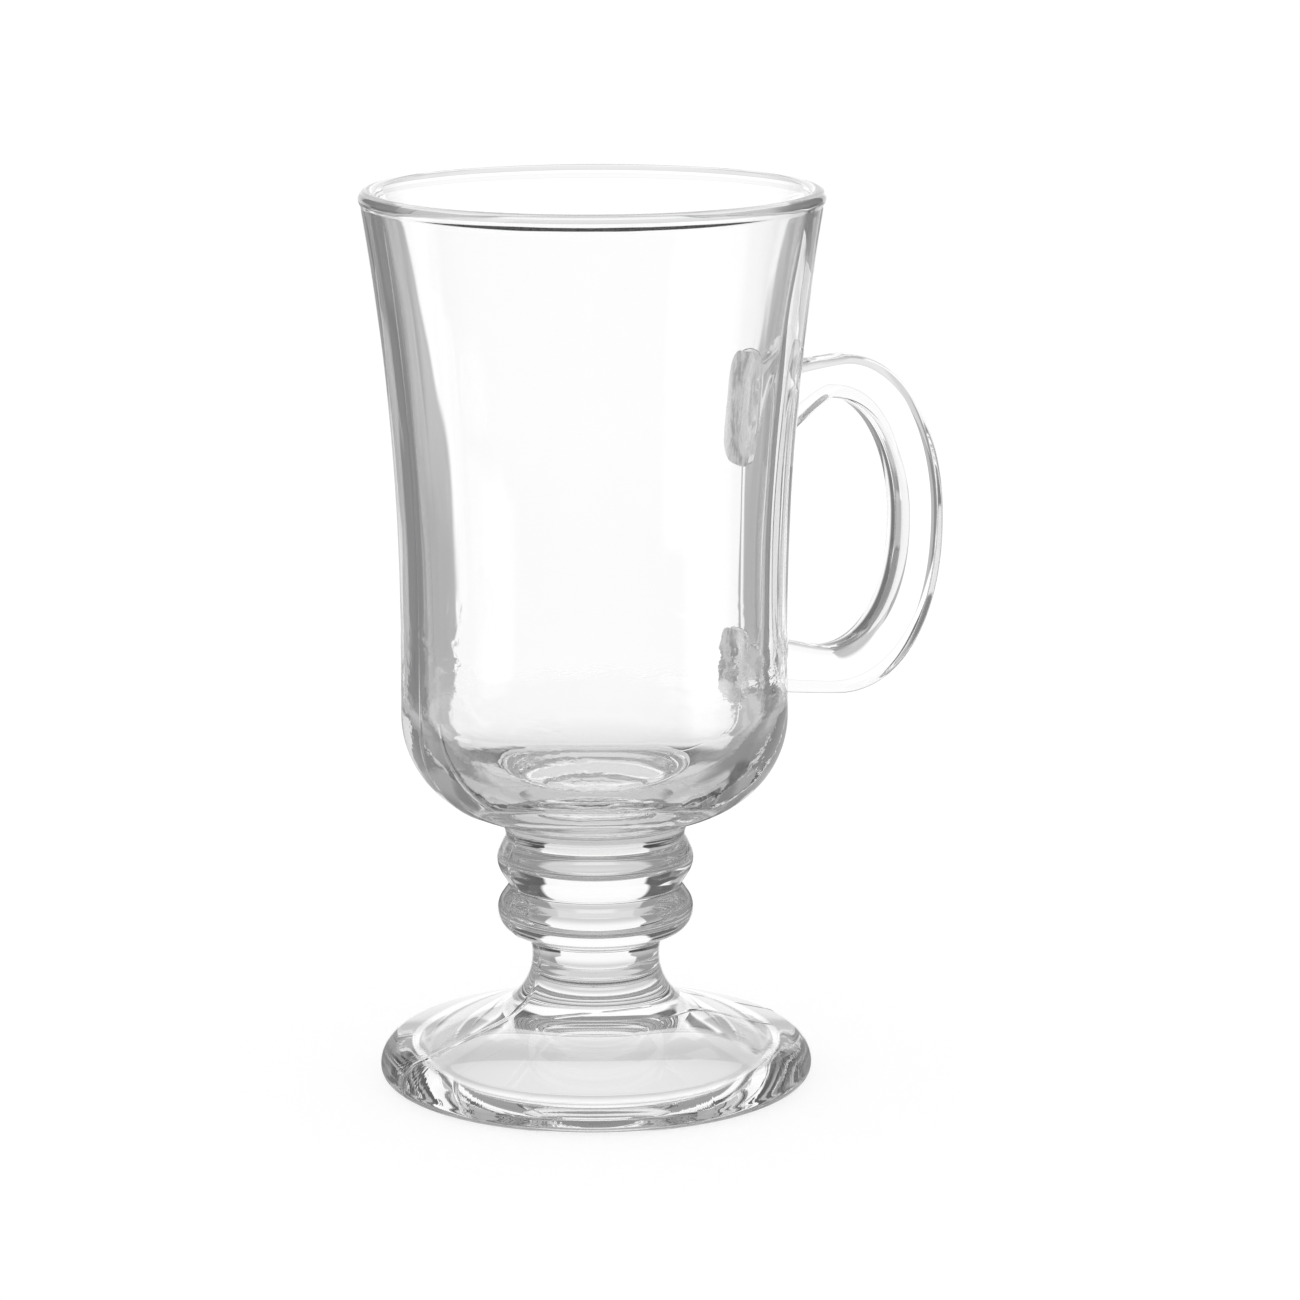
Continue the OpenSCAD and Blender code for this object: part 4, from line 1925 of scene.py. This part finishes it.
@dataclass(frozen=True)
class Viewpoint:
    """The camera of the photograph, found by fitting the outline of the glass.

    Attributes:
        azimuth: degrees round the axis, where 0 looks along +Y.
        distance: level distance from the axis of the glass.
        height: height above the table.
        pitch: degrees below level.
        focal: focal length in pixels of the picture.
        aside: how far the axis stands to the left of the picture's middle, in pixels.
        roll: how far the picture is turned, in radians.
        picture: width of the picture in pixels.
        sensor: width of the camera's sensor in millimetres.
        clip: distances between which the camera sees.
    """

    azimuth: float = -28.0
    distance: float = 0.8
    height: float = 0.2389
    pitch: float = 11.747
    focal: float = 4950.0
    aside: float = 55.6
    roll: float = 0.00455
    picture: float = 1300.0
    sensor: float = 36.0
    clip: tuple[float, float] = (0.01, 50.0)

    def build(self) -> bpy.types.Object:
        """Make the camera and give it to the scene.

        Returns:
            The camera.
        """
        turn, dip = math.radians(self.azimuth), math.radians(self.pitch)
        back = Vector((math.sin(turn), -math.cos(turn), 0.0))
        right = Vector((math.cos(turn), math.sin(turn), 0.0))
        ahead = -back * math.cos(dip) - Vector((0.0, 0.0, math.sin(dip)))
        up = right.cross(ahead)
        pan = math.atan(self.aside / self.focal)
        ahead, right = self.swung(ahead, right, pan)
        up, right = self.swung(up, right, self.roll)
        place = back * self.distance + Vector((0.0, 0.0, self.height))
        data = bpy.data.cameras.new("camera")
        data.sensor_width = self.sensor
        data.lens = self.focal / self.picture * self.sensor
        data.clip_start, data.clip_end = self.clip
        camera = bpy.data.objects.new("camera", data)
        bpy.context.scene.collection.objects.link(camera)
        turned = Matrix((right, up, -ahead)).transposed().to_4x4()
        camera.matrix_world = Matrix.Translation(place) @ turned
        bpy.context.scene.camera = camera
        return camera

    @staticmethod
    def swung(first: Vector, second: Vector, angle: float) -> tuple[Vector, Vector]:
        """Turn a pair of square directions in their plane: (f cos a + s sin a, s cos a - f sin a)."""
        cos, sin = math.cos(angle), math.sin(angle)
        return first * cos + second * sin, second * cos - first * sin


# The glass

@dataclass
class GlassMug:
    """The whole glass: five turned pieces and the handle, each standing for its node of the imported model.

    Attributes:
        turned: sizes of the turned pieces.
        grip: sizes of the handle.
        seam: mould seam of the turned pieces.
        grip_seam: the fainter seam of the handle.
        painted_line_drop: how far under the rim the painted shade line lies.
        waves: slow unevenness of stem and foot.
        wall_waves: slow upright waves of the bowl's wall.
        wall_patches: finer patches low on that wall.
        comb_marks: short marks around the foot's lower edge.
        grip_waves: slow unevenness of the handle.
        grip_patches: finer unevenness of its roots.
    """

    turned: TurnedSizes = field(default_factory=TurnedSizes.from_frame)
    grip: HandleSizes = HandleSizes()
    seam: MouldSeam = MouldSeam()
    grip_seam: MouldSeam = MouldSeam(height=0.00003, width=0.0009)
    painted_line_drop: float = 0.00225
    waves: Ripple = Ripple(depth=0.00002, scale=60.0)
    wall_waves: Ripple = Ripple(depth=0.00008, scale=130.0, stretch=(1.0, 1.0, 0.22))
    wall_patches: Ripple = Ripple(
        depth=0.000035, scale=330.0, stretch=(1.0, 1.0, 2.2), detail=2.0, high=0.078, patches=90.0,
    )
    comb_marks: Ripple = Ripple(
        depth=0.000013, scale=1500.0, stretch=(1.0, 0.06, 0.12), high=0.0034, fade=0.0012, patches=70.0,
        around=True,
    )
    grip_waves: Ripple = Ripple(depth=0.00003, scale=90.0)
    grip_patches: Ripple = Ripple(depth=0.00003, scale=450.0, stretch=(1.0, 1.0, 0.6), detail=2.0, far=0.0405)

    def build(self) -> None:
        """Build every piece, dress it and hang it on the body."""
        s = self.turned
        outline = TurnedOutline(s)
        lathe = Lathe(self.seam)
        handle = Handle(self.grip, s, self.grip_seam)
        fused = FusedFace().material()
        glass = self.finishes(handle)
        for node, name, top, low, slot in (
            ("bowl", "bowl_wall", None, s.upper_joint_h, "bowl_glass"),
            ("upper_knop", "upper_knop_turned", s.upper_joint_h, s.groove_h, "stem_glass"),
            ("lower_knop", "lower_knop_turned", s.groove_h, s.lower_joint_h, "stem_glass"),
            ("neck", "neck_turned", s.lower_joint_h, s.foot_joint_h, "stem_glass"),
            ("foot", "domed_foot", s.foot_joint_h, None, "foot_glass"),
        ):
            self.mount(node, lathe.solid(name, outline.span(top, low)), glass[slot], fused, slot)
        self.mount("handle", handle.build("handle_bar"), glass["handle_glass"], fused, "handle_glass")

    def finishes(self, handle: Handle) -> dict[str, bpy.types.Material]:
        """Build the glass of every material slot.

        Args:
            handle: the handle, whose roots are fused to the bowl's wall.

        Returns:
            The materials, by the names of their slots.
        """
        seats = tuple(Seat(*handle.footprint(root)) for root in handle.roots())
        # Painted shade: a fine dark line on the front of the bowl, just under the rim.
        painted_crease_shade = PaintedCreaseShade(self.turned.glass_h - self.painted_line_drop)
        glasses = (
            # The bowl's glass has painted shade: darker at its thick base and in a fine dark line under the
            # rim.
            Glass("bowl_glass", (self.wall_waves, self.wall_patches), escape=4.0,
                  painted_shades=(PaintedBaseShade(), painted_crease_shade), seats=seats),
            Glass("stem_glass", (self.waves,), kept=0.5),
            Glass("foot_glass", (self.waves, self.comb_marks), kept=0.4),
            Glass("handle_glass", (self.grip_waves, self.grip_patches), escape=6.0),
        )
        return {glass.name: glass.material() for glass in glasses}

    @staticmethod
    def mount(node: str, piece: bpy.types.Object, glass: bpy.types.Material, fused: bpy.types.Material,
              slot: str) -> None:
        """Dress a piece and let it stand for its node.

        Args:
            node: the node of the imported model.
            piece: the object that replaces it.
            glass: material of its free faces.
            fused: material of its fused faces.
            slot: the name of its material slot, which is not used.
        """
        for material in (glass, fused):
            piece.data.materials.append(material)
        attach(piece, BODY)
        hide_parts(node)
        LOG.info("%s stands for %s with %d faces", piece.name, node, len(piece.data.polygons))


def main() -> None:
    """Build the camera, the glass and the studio, in that order."""
    logging.basicConfig(level=logging.INFO, format="%(name)s: %(message)s")
    scene = bpy.context.scene
    scene.view_settings.view_transform = "Standard"
    scene.cycles.max_bounces = scene.cycles.transparent_max_bounces = LIGHT_TURNS
    scene.cycles.transmission_bounces = scene.cycles.glossy_bounces = GLASS_TURNS
    Viewpoint().build()
    GlassMug().build()
    Studio().build()


if __name__ == "__main__":
    main()
